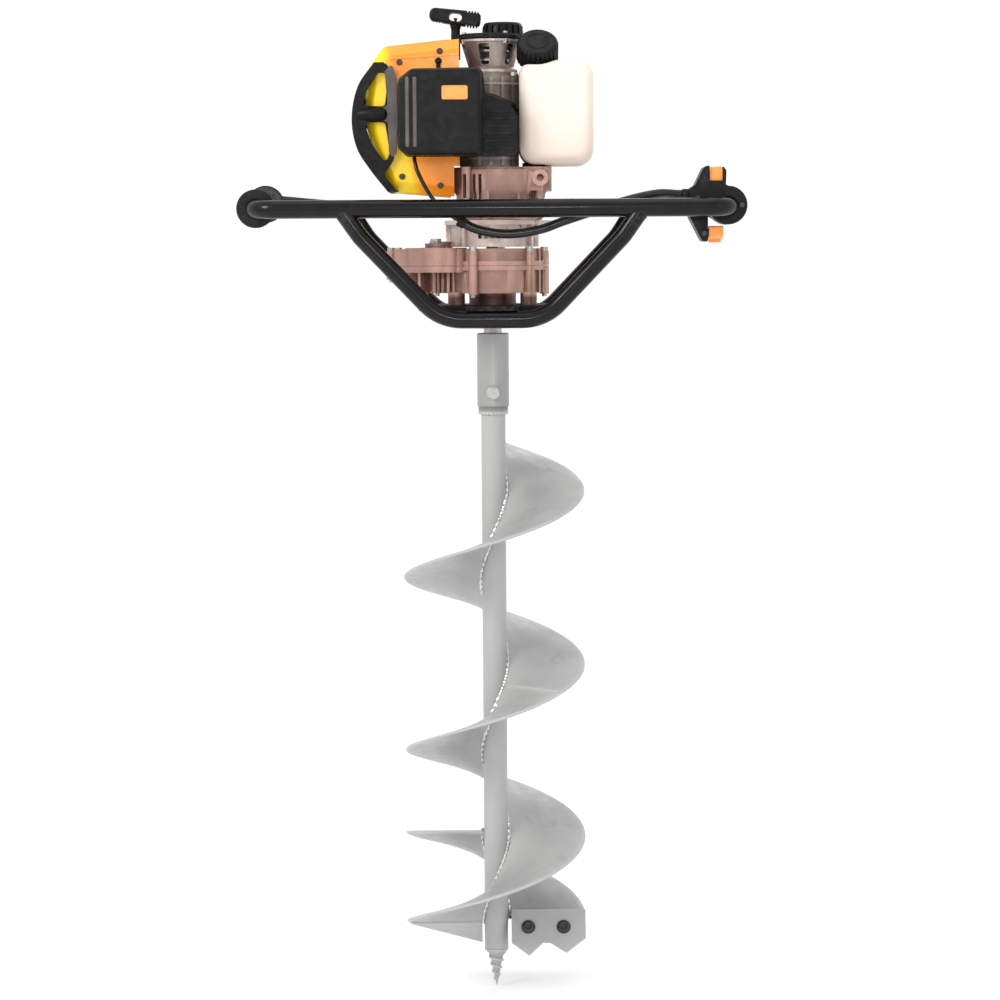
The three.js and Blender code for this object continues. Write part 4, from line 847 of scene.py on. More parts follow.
def weld_line(start, end, radius):
    """A straight weld bead, rippled along its length."""
    start, end = Vector(start), Vector(end)
    steps = max(6, int((end - start).length / 1.2))
    path = [start.lerp(end, i / steps) for i in range(steps + 1)]
    return sweep(path, lambda share: radius * (1 + 0.16 * math.sin(share * steps * 2.1)), 8)


# ------------------------------------------------------------ gearbox and clutch housing

FEET = [(-40, -38), (40, -38), (-40, 38), (40, 38)]
CASE_RADIUS = 56
SHAFT_SPACING = 57
LOBE_RADIUS = 34
LOBE = (-62, -27)
GREASE_PLUG = (LOBE[0], LOBE[1] - 6)
CASE_RIBS = (-26, -14, 20, 30, 60, 95)
PLATE_TOP = span("mounting_plate")[1].z
CASE_FLOOR = -92
CASE_SPLIT = -62
CASE_TOP = -43
# Short pillars for the screws under the lobe, down to the level of the case's floor.
LOBE_POSTS = [(-73, -18), (-61, -27), (-43, -33)]


def flange_bolts():
    """Where screws hold the two case halves, as (x, y, level of the boss's foot)."""
    long_foot, short_foot = CASE_FLOOR - 1.5, CASE_SPLIT - 15
    main = [polar(CASE_RADIUS + 2, math.radians(a)) for a in (-45, 5, 45, 80)]
    side = [polar(CASE_RADIUS, math.radians(a)) for a in (110, 150, 190)]
    return [
        *[(x, y, long_foot) for x, y in main],
        *[(-SHAFT_SPACING + x, y, short_foot) for x, y in side],
        (-21, -57, long_foot),
    ]


def spokes(reach, half_width, levels, angles):
    """Upright blades round the Z axis, from one radius out to another."""
    return [box(reach, (-half_width, half_width), levels).turned(a, "Z") for a in angles]


def vertical_ribs(radius, angles, bottom, top, depth):
    """Thin upright ribs standing out of a round wall."""
    return spokes((radius - 4, radius + depth), 1.7, (bottom, top), angles)


def build_gearbox():
    bosses = flange_bolts()
    web_angles = (-150, -125, -100, -78, -56, 120, 150, 180)
    webs = spokes((18, 41), 1.6, (CASE_FLOOR + 1, CASE_SPLIT - 6), web_angles)
    lower = join(
        post(CASE_RADIUS, 0, 0, CASE_FLOOR, CASE_SPLIT, 72),
        post(CASE_RADIUS - 1, -SHAFT_SPACING, 0, CASE_SPLIT - 7, CASE_SPLIT, 72),
        post(LOBE_RADIUS, *LOBE, CASE_SPLIT - 7, CASE_SPLIT, 56),
        post(CASE_RADIUS + 2.5, 0, 0, CASE_SPLIT - 5, CASE_SPLIT, 72),
        post(24, -SHAFT_SPACING, 0, CASE_FLOOR, CASE_SPLIT - 2),
        post(26, 0, 0, PLATE_TOP - 24, CASE_FLOOR + 1),
        *[post(9, x, y, PLATE_TOP + 0.3, CASE_FLOOR + 1, 28) for x, y in FEET],
        *[post(5.2, x, y, foot, CASE_SPLIT, 24) for x, y, foot in bosses],
        *[post(4.4, x, y, CASE_FLOOR, CASE_SPLIT - 6, 24) for x, y in LOBE_POSTS],
        *[web.shifted(-SHAFT_SPACING) for web in webs],
        *vertical_ribs(CASE_RADIUS, CASE_RIBS, CASE_FLOOR, CASE_SPLIT - 4, 2.4),
    )
    place("gearbox_lower", lower, "case_aluminium", replaces="gearbox_lower_case", bevel=1.1)
    split = CASE_SPLIT + 0.3
    upper = join(
        post(CASE_RADIUS, 0, 0, split, CASE_TOP, 72),
        post(CASE_RADIUS - 1, -SHAFT_SPACING, 0, split, CASE_TOP, 72),
        post(LOBE_RADIUS, *LOBE, split, CASE_TOP + 1, 56),
        post(CASE_RADIUS + 2.5, 0, 0, split, split + 5, 72),
        post(13, -SHAFT_SPACING, 0, CASE_TOP - 1, CASE_TOP + 8),
        post(12, *GREASE_PLUG, CASE_TOP - 1, CASE_TOP + 6, 40),
        *[post(5.2, x, y, split, CASE_TOP - 3, 24) for x, y, foot in bosses],
        *vertical_ribs(CASE_RADIUS, CASE_RIBS, split + 4, CASE_TOP, 2.4),
    )
    recess = post(LOBE_RADIUS - 7, *LOBE, CASE_TOP - 1.2, CASE_TOP + 3)
    keep = post(14, *GREASE_PLUG, CASE_TOP - 5, CASE_TOP + 9, 40)
    upper = cut(upper, cut(recess, keep, post(15, -SHAFT_SPACING, 0, CASE_TOP - 5, CASE_TOP + 9)))
    place("gearbox_upper", upper, "case_aluminium", replaces="gearbox_upper_case", bevel=1.1)
    screws = [socket_head((x, y, CASE_TOP - 3), (0, 0, 1), 4.2, 4.5) for x, y, foot in bosses]
    ends = bosses + [(x, y, CASE_FLOOR) for x, y in LOBE_POSTS]
    screws += [post(2.6, x, y, foot - 3, foot + 1, 20) for x, y, foot in ends]
    place("gearbox_screws", together(screws), "steel")
    plug = hexagon_head((*GREASE_PLUG, CASE_TOP + 6), (0, 0, 1), 11, 5)
    place("grease_plug", plug, "steel", bevel=0.4)


def build_clutch_housing():
    low, high = span("clutch_housing")
    neck, flange = 47, 53
    wall = neck - 3.5
    lug = [(46, -26), (high.x, -14), (high.x, 14), (46, 26)]
    shell = join(
        turned_ring(rectangle(wall - 1, neck, low.z, high.z), 80),
        turned_ring(rectangle(wall - 2, flange, high.z - 5, high.z), 72),
        *vertical_ribs(neck, (-128, -30, 0, 30, 118, 150, 180), low.z, high.z - 4, 4.5),
        cut(
            slab(lug, 5, "Z", high.z - 4.8, high.z - 0.2, 4),
            post(3.5, 59, 0, high.z - 9, high.z + 5, 24),
        ),
    )
    slots = spokes((neck - 8, neck + 8), 2.6, (low.z + 9, high.z - 10), (-106, -98, -90, -82, -74))
    shell = cut(shell, post(wall, 0, 0, low.z - 5, high.z + 5, 80), *slots)
    # The bell wears the paler, lit copy of the cast aluminium, as painted light.
    place("clutch_bell", shell, "case_aluminium", replaces="clutch_housing", look=LIT_BELL_METAL, bevel=0.8)
    centres = [(*polar(50, math.radians(a)), high.z - 5) for a in (-135, -46, 46, 135)]
    screws = [socket_head(centre, (0, 0, -1), 2.9, 3.4) for centre in centres]
    place("bell_screws", together(screws), "steel")


# ------------------------------------------------------------ engine

FAN_CASE_X = 6
CYLINDER_Z = 106
SHROUD_OUTLINE = [(0, 190), (-118, 178), (-136, 152), (-140, 100), (-124, 46), (-110, 19), (0, 10)]
SHROUD_FRONT, SHROUD_REAR, SHROUD_OPENING, SHROUD_CHAMFER = -43, 46, -46, 13


def about_bore(half):
    """The heights that far below and above the cylinder's axis."""
    return CYLINDER_Z - half, CYLINDER_Z + half


def core(radius, start, end, sides):
    """A rod along the cylinder's axis, between two values of X."""
    return rod(radius, (start, 0, CYLINDER_Z), (end, 0, CYLINDER_Z), sides)


def build_fan_case():
    low, high = span("fan_case")
    radius, wall, shoulder = 55, 3, 20
    profile = [
        (0, low.z), (radius - 6, low.z), (radius - 4.5, low.z + 3), (radius - 3, shoulder - 5),
        (radius, shoulder), (radius, high.z - 3), (radius - 3, high.z), (0, high.z),
    ]
    lug = [(28, -44), (56, -44), (high.x, -30), (high.x, 20), (30, 30)]
    bosses = [(53, -38), (-28, -46), (-28, 44), (40, 40)]
    ribs = vertical_ribs(radius - 3, (-112, -101, -64, -40, -20), low.z + 2, shoulder, 2.2)
    levels = (low.z + 6, high.z - 8)
    slots = spokes((radius - 9, radius + 9), 1.9, levels, (-125, -117.5, -110, 128, 120, 112))
    body = join(
        turned_ring(profile, 80, centre=(FAN_CASE_X, 0, 0)),
        slab(lug, 5, "Z", shoulder, high.z),
        *[post(5.5, x, y, shoulder - 8, high.z, 28) for x, y in bosses],
        pin(9, 53, 34, -46.5, -35, 36),
        *[rib.shifted(FAN_CASE_X) for rib in ribs],
    )
    body = cut(
        body,
        post(radius - 5 - wall, FAN_CASE_X, 0, low.z + wall, high.z - wall, 72),
        box((-60, -30), (-26, 26), (low.z + 10, high.z - 8)),
        pin(4, 53, 34, -50, -28, 28),
        *[slot.shifted(FAN_CASE_X) for slot in slots],
    )
    place("fan_casing", body, "case_aluminium", replaces="fan_case", bevel=0.9)
    heads = [socket_head((x, y, shoulder - 8), (0, 0, -1), 3.6, 3.8) for x, y in bosses]
    place("fan_case_screws", together(heads), "steel")


def build_crankcase():
    low, high = span("crankcase")
    radius = 35
    edge, top = radius - 5, high.z
    lid = [(0, top - 5), (edge, top - 5), (edge, top - 1), (edge - 1, top), (0, top)]
    flat = span("fuel_tank")[0].x - 0.3
    body = join(
        post(radius, 0, 0, low.z, high.z - 4, 72),
        turned_ring(lid, 72),
        box((-40, -15), (-30, 30), about_bore(30)),
        *[
            turned_ring(rectangle(radius - 3, radius + 2, z, z + 2.4), 60)
            for z in (low.z + 8, CYLINDER_Z - 2, high.z - 14)
        ],
        *vertical_ribs(radius, range(-170, -9, 20), low.z + 2, high.z - 6, 1.8),
        *vertical_ribs(radius, range(30, 171, 28), low.z + 2, high.z - 6, 1.8),
    )
    body = cut(
        body,
        box((flat, 70), (-60, 60), (low.z - 5, high.z + 5)),
        post(min(radius - 4.5, flat - 3), 0, 0, low.z + 4, high.z - 6),
        core(20.4, -60, 0, 48),
    )
    place("crank_housing", body, "bright_aluminium", replaces="crankcase", look=DULL_METAL, bevel=0.8)
    corners = rectangle(-24, 24, -23, 23)
    heads = [socket_head((x, y, high.z - 4.2), (0, 0, 1), 3.2, 4) for x, y in corners]
    place("crankcase_screws", together(heads), "steel")


def build_cylinder():
    low, high = span("cylinder")
    fin = rectangle(-32, 32, *about_bore(33))
    barrel = join(
        core(27, high.x, low.x, 56),
        box((high.x - 5, high.x), (-30, 30), about_bore(30)),
        box((-78, -58), (-33.9, 33.9), about_bore(11)),
        *[slab(fin, 9, "X", x, x + 1.8) for x in [low.x + 3 + 5.8 * i for i in range(11)]],
    )
    barrel = cut(barrel, core(6.4, -100, -120, 24), core(20, high.x + 5, -99, 40))
    place("finned_barrel", barrel, "bright_aluminium", replaces="cylinder", bevel=0.4)


def shroud_form(shrink):
    """The shroud's rounded outer form, or its inner form when shrunk."""
    front, rear, edge = SHROUD_FRONT + shrink, SHROUD_REAR - shrink, SHROUD_CHAMFER
    steps = [
        (edge, front), (edge - 2.2, front + 0.8), (1.6, front + edge - 2.4), (0, front + edge),
        (0, rear - edge), (1.6, rear - edge + 2.4), (edge - 2.2, rear - 0.8), (edge, rear),
    ]
    steps = [(depth + shrink, y) for depth, y in steps]
    return stepped(SHROUD_OUTLINE, steps, [2, 15, 17, 30, 17, 10, 2], 7)


def build_shroud():
    low = span("engine_shroud")[0]
    fan_top = span("fan_case")[1].z
    louvre_levels = [z for z in range(70, 143, 9) if abs(z - CYLINDER_Z) > 15]
    groove = [(-122, 160.6), (-30, 166.2), (-30, 168), (-122, 162.4)]
    shell = cut(
        shroud_form(0),
        shroud_form(2.6),
        box((SHROUD_OPENING, 20), (SHROUD_FRONT + 12, 100), (0, 220)),
        box((SHROUD_OPENING + 5, 20), (-100, 100), (0, fan_top + 1)),
        box((SHROUD_OPENING + 11, 20), (-100, 100), (fan_top + 0.5, 220)),
        prism(groove, "Y", SHROUD_FRONT - 3, SHROUD_FRONT + 1),
        post(56, FAN_CASE_X, 0, low.z - 10, 47, 72),
        core(13, -160, -125, 40),
        box((-89, -40), (-60, -30), about_bore(26)),
        box((-84, -52), (30, 60), about_bore(16)),
        *[box((-150, -120), (-24, 24), (z - 2.2, z + 2.2)) for z in louvre_levels],
        *[box((x - 2.2, x + 2.2), (-22, 24), (150, 200)) for x in range(-108, -58, 9)],
    )
    place("cowling", shell, "yellow_plastic", replaces="engine_shroud", bevel=0.7)
    rim = [(13, -1.2), (16, -1.2), (16.8, 0.6), (16, 1.4), (13, 1.4)]
    rim = turned_ring(rim, 48, (-1, 0, 0), (-139.2, 0, CYLINDER_Z))
    place("plug_hole_rim", rim, "yellow_plastic")
    screws = [
        pin(3.4, x, z, face - 0.4 * out, face + 1.6 * out, 24)
        for face, out in ((SHROUD_FRONT, -1), (SHROUD_REAR, 1))
        for x, z in ((-100, 160), (-98, 36), (-56, 172), (-56, 26))
    ]
    place("cowling_screws", together(screws), "steel", look=DARK_STEEL, bevel=0.6)


def build_guard():
    """The black cage round the plug end: a bow over the end face and a fork in front of it."""
    arc = spline([(-126, 160), (-144, 134), (-151, 100), (-146, 68), (-131, 43), (-112, 19)], 6)
    outer = [(p.x - 1.5, p.y) for p in arc]
    inner = [(x + 11, z) for x, z in reversed(outer)]
    fork = outer + [(-119, 36), (-107, 54), (-102, 100), (-106, 142), (-114, 158)]
    front = span("cylinder_guard")[0].y
    windows = [
        [(-139, 95), (-131, 72), (-116, 50), (-111, 62), (-116, 95)],
        [(-123, 149), (-136, 129), (-140, 113), (-116, 112), (-112, 148)],
    ]
    cage = cut(
        prism(outer + inner, "Y", front + 1.5, 40),
        shroud_form(-0.5),
        core(13.5, -160, -130, 40),
        *[box((-175, -120), (y, y + 9), (z, z + 24)) for y in (-34, -19, 18) for z in (52, 122)],
    )
    openings = [slab(window, 4, "Y", front - 5, front + 12) for window in windows]
    face = cut(slab(fork, 0.5, "Y", front, front + 5, 2), *openings)
    place("plug_guard", cage + face, "black_plastic", replaces="cylinder_guard", bevel=1.0)
    profile = [
        (0, -148), (4, -147), (6.4, -143), (7, -136), (8.4, -132),
        (8.4, -122), (7, -116), (3, -113), (0, -113),
    ]
    knuckle = turned_ring(profile, 40, (1, 0, 0), (0, front + 2.5, 103.5))
    place("guard_knuckle", knuckle, "black_plastic")
    leg = [
        (-116, 150), (-108, 158), (-103, 142), (-101, 100), (-104, 62), (-108, 56),
        (-112, 62), (-113, 94), (-118, 97), (-118, 111), (-113, 114),
    ]
    leg = slab(leg, 2, "Y", front - 1, front + 2, 3)
    # The leg carries a painted highlight in dull brown-grey.
    place("guard_leg", leg, "black_plastic", look=HIGHLIT_PLASTIC, bevel=0.8)


def build_spark_plug():
    def along_bore(profile, sides):
        """A turned piece, from a profile of (distance to the left of the drill's axis, radius)."""
        return turned_ring([(r, x) for x, r in profile], sides, (-1, 0, 0), (0, 0, CYLINDER_Z))

    shell = along_bore([(102, 0), (102, 5.8), (113, 5.8), (113, 0)], 40) + core(9.3, -112.3, -119, 6)
    place("spark_plug_shell", shell, "steel", bevel=0.4)
    body = [(118, 0), (118, 6), (120, 6.4)]
    body += [(121 + 2 * i + step, 5.2 - 0.5 * step) for i in range(5) for step in (0, 1)]
    body += [(132, 3), (136, 2.5), (136, 0)]
    place("spark_plug_body", along_bore(body, 40), "ceramic", replaces="spark_plug")
    boot = [
        (123, 5.6), (123, 8.6), (124.5, 9), (128, 8.6), (130, 8.8), (132, 8.2), (134, 8.4),
        (138, 7.9), (142, 7.5), (144.6, 6.4), (145, 0), (138, 0), (138, 5.6),
    ]
    place("plug_cap", along_bore(boot, 48), "rubber", replaces="plug_boot")
    lead = [(-138, -4, 100), (-133, -12, 90), (-124, -16, 82), (-112, -16, 76)]
    lead = spline(lead, 8)
    declare_cord(place("plug_lead", sweep(lead, 3.2, 20), "rubber", look=HOSE), lead)


def build_carburettor():
    low, high = span("carburettor")
    x, z = (low.x + high.x) / 2, CYLINDER_Z
    body = join(
        box((x - 17, x + 17), (-61, -37), (z - 15, z + 19)),
        box((x - 20, x + 20), (-63.5, -60), about_bore(13)),
        post(12, x, -51, z - 24, z - 14, 40),
        post(14, x, -51, z - 20, z - 17, 40),
        rod(5, (x + 16, -52, z + 4), (x + 21, -52, z + 4), 24),
    )
    body = cut(body, pin(8, x, z, -70, -30, 36))
    place("carburettor_body", body, "bright_aluminium", replaces="carburettor", bevel=0.8)


def build_air_filter():
    low, high = span("air_filter_base")
    joint, rear = low.y, high.y
    x0, x1, z0, z1 = low.x, high.x, low.z, high.z
    tray = [
        (x0 + 8, z0), (x1, z0), (x1, z0 + 42), (x1 - 8, z1 - 36), (x1 - 34, z1 - 27),
        (x1 - 37, z1), (x0 + 12, z1), (x0, z1 - 10), (x0, z0 + 8),
    ]
    rails = [
        box((x1 - 35, x1 - 3), (joint - 1.4, joint + 1), (z, z + 2))
        for z in range(int(z0) + 8, int(z1) - 44, 8)
    ]
    tray = cut(join(slab(tray, 5, "Y", joint, rear, 4), *rails), pin(8, -68, CYLINDER_Z, -90, -50, 36))
    place("filter_tray", tray, "black_plastic", replaces="air_filter_base", bevel=0.8)

    low, high = span("air_filter_cover")
    front, back, right = low.y + 1.2, high.y, x1 - 38
    face = [(x0 + 9, z0), (right, z0), (right, z1 + 1), (x0 + 14, z1), (x0, z1 - 13), (x0, z0 + 9)]
    cover = stepped(face, [(0, back), (0, front + 7), (0.8, front + 3.4), (2.6, front + 1), (5, front)], 7)
    seam = stepped(face, [(0.5, back - 6), (-0.9, back - 5), (-0.9, back - 3.4), (0.5, back - 2.4)], 7)
    place("filter_cover", cover + seam, "black_plastic", replaces="air_filter_cover", bevel=0.5)
    ridges = [
        layers(
            (rounded(rectangle(x - half, x + half, z0 + 9, z1 - 9), half * 0.9, 4), y)
            for half, y in ((2.2, front + 2), (2.2, front - 0.4), (1.3, front - 1.2))
        )
        for x in (x0 + 10, x0 + 18)
    ]
    # The ridges carry a painted highlight in dull brown-grey.
    place("cover_ridges", together(ridges), "black_plastic", look=HIGHLIT_PLASTIC)
    plaque = slab(rectangle(-53, -25, 116.5, 131.5), 2, "Y", front - 0.3, front + 1.6, 4)
    place("blank_plaque", plaque, "orange_plastic", bevel=0.4)


def build_choke_lever():
    low, high = span("choke_lever")
    x, z = (low.x + high.x) / 2, low.z + 5
    arm = [(x - 3, z), (x + 3, z), (x + 2.4, z + 21), (x - 2.4, z + 21)]
    arm = slab(arm, 2, "Y", low.y, low.y + 2.5, 4)
    knob = [(0, 0), (3.2, 0), (3.9, 1), (3.9, 4.2), (3.2, 5.2), (0, 5.4)]
    knob = turned_ring(knob, 32, (0, 1, 0), (x, low.y, z + 22))
    lever = together([arm, knob, pin(5, x, z, low.y, high.y - 1.5, 32)])
    place("choke_arm", lever, "black_plastic", "choke", "choke_lever", bevel=0.4)


def build_muffler():
    low, high = span("muffler")
    back = 85
    face = rectangle(low.x, high.x, low.z, high.z)
    case = stepped(face, [(6, 51), (1.6, 52.6), (0, 57), (0, back - 7), (1.6, back - 2), (6, back)], 9)
    seam = stepped(face, [(1, 66), (-1.6, 67), (-1.6, 69.5), (1, 70.5)], 9)
    flutes = [box((-94, -60), (back - 1, back + 1.4), (z, z + 3.4)) for z in range(98, 133, 9)]
    outlet = [(5, 78), (7, 78), (7, high.y - 0.8), (6.4, high.y), (5, high.y)]
    outlet = turned_ring(outlet, 40, (0, 1, 0), (-48, 0, 84))
    body = together([case, seam, box((-82, -54), (38, 52), about_bore(14)), *flutes, outlet])
    place("silencer_box", body, "steel", replaces="muffler", look=MUFFLER_STEEL, bevel=0.6)
    bolts = [hexagon_head((x, back, z), (0, 1, 0), 9, 5.6) for x, z in ((-48, 128), (-92, 84))]
    place("silencer_bolts", together(bolts), "steel", bevel=0.4)


# ------------------------------------------------------------ fuel tank

CAP_CENTRE = Vector((51, -30, 173))
CAP_AXIS = Vector((0, -math.sqrt(0.5), math.sqrt(0.5)))
CAP_RADIUS = 23
TANK_LEVELS = (48, 162)


def on_cap_axis(distance):
    return CAP_CENTRE + distance * CAP_AXIS


def tank_form(low, high):
    """A blown shell's form, with soft corners all round."""
    face = rectangle(low.x, high.x, low.z, high.z)
    return layers(
        (rounded(inset(face, narrow), max(18 - narrow * 0.5, 9), 7), y)
        for narrow, y in tank_sections(low, high, 13, 6)
    )


def tank_sections(low, high, edge, steps):
    """How far in the outline lies at each depth, round the tank's front and rear edges."""
    quarter = [math.pi / 2 * i / steps for i in range(steps + 1)]
    front = [(edge * (1 - math.sin(a)), low.y + edge * (1 - math.cos(a))) for a in quarter]
    rear = [(edge * (1 - math.sin(a)), high.y - edge * (1 - math.cos(a))) for a in reversed(quarter)]
    middle = [(0.6, low.y + 0.42 * (high.y - low.y)), (0, low.y + 0.5 * (high.y - low.y))]
    return front + middle + rear


def build_tank():
    low, high = span("fuel_tank")
    low.z, high.z = TANK_LEVELS
    pocket = rod(CAP_RADIUS + 2.5, on_cap_axis(-12), on_cap_axis(70), 64)
    neck = cut(rod(15, on_cap_axis(-14), on_cap_axis(6), 48), rod(12, on_cap_axis(-20), on_cap_axis(10), 48))
    threads = [
        turned_ring([(14.6, d), (15.9, d + 0.7), (14.6, d + 1.4)], 48, CAP_AXIS, CAP_CENTRE)
        for d in (-6, -3, 0, 3)
    ]
    shell = cut(tank_form(low, high), pocket)
    place("tank_shell", shell, "tank_plastic", replaces="fuel_tank", bevel=1.2, sharp=50)
    place("tank_neck", together([neck, *threads]), "tank_plastic")
    middle = (low.y + high.y) / 2
    outline = rounded(rectangle(low.x, high.x, low.z, high.z), 18, 7)
    seam = layers(
        (outward(outline, height), middle + y)
        for height, y in ((-0.6, -1.6), (0.9, -0.7), (0.9, 0.7), (-0.6, 1.6))
    )
    place("tank_seam", cut(seam, pocket), "tank_plastic")
    place("tank_foot", box((34, 58), (-14, 14), (46.3, low.z + 3)), "rubber", bevel=0.8)


def outward(outline, distance):
    """An outline's points moved away from its middle."""
    middle = sum((Vector(p) for p in outline), Vector((0, 0))) / len(outline)
    return [tuple(Vector(p) + (Vector(p) - middle).normalized() * distance) for p in outline]


def build_cap():
    ribs, top = 26, 13
    rings = []
    for fraction, height in ((1, -11), (1, -10), (1, 8), (0.975, 10), (0.9, 12), (0.78, top)):
        ring = []
        for i in range(4 * ribs):
            angle = TURN * i / (4 * ribs)
            notch = 0 if fraction < 0.95 else 1.5 * max(0.0, math.cos(angle * ribs)) ** 3
            ring.append((*polar(CAP_RADIUS * fraction - notch, angle), height))
        rings.append(ring)
    grip = cut(loft(rings), post(16.4, 0, 0, -15, 8))
    cap = cut(grip, turned_ring(rectangle(11, 13, top - 0.8, top + 1), 48))
    tilt = math.degrees(math.atan2(-CAP_AXIS.y, CAP_AXIS.z))
    cap = cap.turned(tilt, "X").shifted(*CAP_CENTRE)
    place("filler_cap", cap, "black_plastic", "cap", "fuel_cap", bevel=0.5)


def build_fuel_hose():
    wall = span("fuel_tank")[0].x
    route = [(wall - 1.5, -30, 112), (18, -36, 116), (-4, -46, 124), (-28, -54, 122), (-49.3, -54, 113)]
    route = spline(route, 8)
    hose = place("fuel_hose", sweep(route, 2.5, 20), "rubber", replaces="fuel_line", look=HOSE)
    declare_cord(hose, route)
    grommet = [(2.6, -4), (3.6, -4), (4.6, 0), (4.6, 1.5), (2.6, 1.5)]
    grommet = turned_ring(grommet, 32, (1, 0, 0), (wall - 0.6, -30, 112))
    place("hose_grommet", grommet, "rubber")


# ------------------------------------------------------------ starter

DISC_Z = 186
TOP_Z = span("starter_cover")[1].z
ROPE_X = -39
COVER_Z = DISC_Z + 0.3
HANDLE_SEAT_Z = COVER_Z + 11
BOSS_X = 13
HANDLE_TILT = 7


def build_starter():
    low, high = span("starter_base")
    cone = [
        (20.5, low.z), (29, low.z), (29, low.z + 3), (27.5, low.z + 4), (25, low.z + 6), (33, high.z - 3),
        (34.4, high.z - 2.5), (34.4, high.z), (30.5, high.z), (20.5, low.z + 6),
    ]
    window = [(-4.5, low.z + 8), (4.5, low.z + 8), (7, high.z - 5), (-7, high.z - 5)]
    window = slab(window, 3, "X", 6, 60, 4)
    cone = cut(turned_ring(cone, 80), *[window.turned(angle, "Z") for angle in range(-45, 300, 60)])
    place("starter_cone", cone, "bright_aluminium", replaces="starter_base", bevel=0.7)

    z, top = COVER_Z, TOP_Z
    dome = [(0, z), (33, z), (35, z + 1), (35, z + 4), (33.4, z + 6), (0, z + 6)]
    boss = [(0, z + 5), (23, z + 5), (22.4, top - 5), (20.5, top - 1.2), (19, top), (0, top)]
    cover = join(
        turned_ring(dome, 80),
        turned_ring(boss, 72, centre=(BOSS_X, 0, 0)),
        box((ROPE_X - 5, -25), (-7, 7), (z, z + 6)),
        post(5, ROPE_X, 0, 165, z + 11, 36),
        post(4.5, 0, 0, 162, z + 1, 28),
    )
    flutes = [flute.shifted(BOSS_X) for flute in spokes((19, 27), 1.3, (z + 6.3, top - 3), range(0, 360, 20))]
    cover = cut(cover, post(2.6, ROPE_X, 0, 160, z + 15, 24), *flutes)
    place("starter_cap", cover, "black_plastic", replaces="starter_cover", bevel=0.5)
    heads = []
    for angle in (200, 300, 55, 130):
        x, y = polar(31.5, math.radians(angle))
        heads += [post(2.6, x, y, z + 5.8, z + 8, 24), hexagon_head((x, y, z - 0.2), (0, 0, -1), 6.5, 5)]
    place("starter_screws", together(heads), "steel", bevel=0.3)


def build_starter_inside():
    """The rope's turns on the pulley, seen through the cone's windows."""
    turns, steps, rise = 3, 40, 3.78
    path = [
        (*polar(16.6, TURN * i / steps), 167.2 + rise * i / (turns * steps))
        for i in range(turns * steps + 1)
    ]
    place("wound_rope", sweep(path, 1.4, 12), "cord", "pulley")


def build_pull_handle():
    half = span("starter_handle")[1].y
    rise = HANDLE_SEAT_Z + 14
    steps = [(3, -half), (1.1, -half + 0.9), (0, -half + 3), (0, half - 3), (1.1, half - 0.9), (3, half)]
    bar = stepped([(-29, -7), (28, -9.5), (28, 9), (-29, 7.7)], steps, 6.5, 8)
    opening = slab(rectangle(-7, 7, -4.5, 4.5), 4, "Y", -30, 30, 6)
    grooves = [
        box((x, x + 1.5), (-half - 3, half + 3), levels)
        for start, count, levels in ((12, 5, (-12, -6.8)), (12, 5, (6.8, 12)), (-26, 4, (-12, -6.8)))
        for x in [start + 3.3 * i for i in range(count)]
    ]
    bar = cut(bar, opening, *grooves).turned(HANDLE_TILT, "Y").shifted(ROPE_X, 0, rise)
    shank = [(2.4, 0.3), (5, 0.3), (5.4, 2), (7, 8), (2.4, 8)]
    shank = turned_ring(shank, 36, centre=(ROPE_X, 0, HANDLE_SEAT_Z))
    place("pull_grip", bar + shank, "black_plastic", "pull_handle", "starter_handle", bevel=0.7)
    place("rope_knot", knot((ROPE_X, 0, rise - 2)), "cord", "pull_handle")


def knot(centre):
    """A small trefoil knot."""
    path = []
    for i in range(72):
        t = TURN * i / 72
        across_x, across_z = math.sin(t) + 2 * math.sin(2 * t), math.cos(t) - 2 * math.cos(2 * t)
        path.append(Vector(centre) + Vector((across_x, -math.sin(3 * t) * 1.4, across_z)) * 0.55)
    return sweep(path, 0.7, 10, closed=True)


def build_rope():
    """The starter rope from the pulley's level up into the handle."""
    low, high = span("starter_rope")
    steps = 24
    path = [Vector((ROPE_X, 0, low.z + (high.z - low.z) * i / steps)) for i in range(steps + 1)]
    mesh = mesh_of("pull_rope", sweep(path, 1.8, 12))
    rope = add_object("pull_rope", mesh)
    mesh.polygons.foreach_set("use_smooth", [True] * len(mesh.polygons))
    mesh.materials.append(LOOKS["cord"].material)
    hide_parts("starter_rope")
    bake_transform(rope)


# ------------------------------------------------------------ controls on the right grip

HOUSING_LOW, HOUSING_HIGH = span("throttle_housing")
HOUSING_Y = (HOUSING_LOW.y, HOUSING_HIGH.y)
HOUSING_Z = grip_height(-51)
TRIGGER_PIVOT = (-66, -22)
LOCKOUT_PIVOT = (-66, 30)


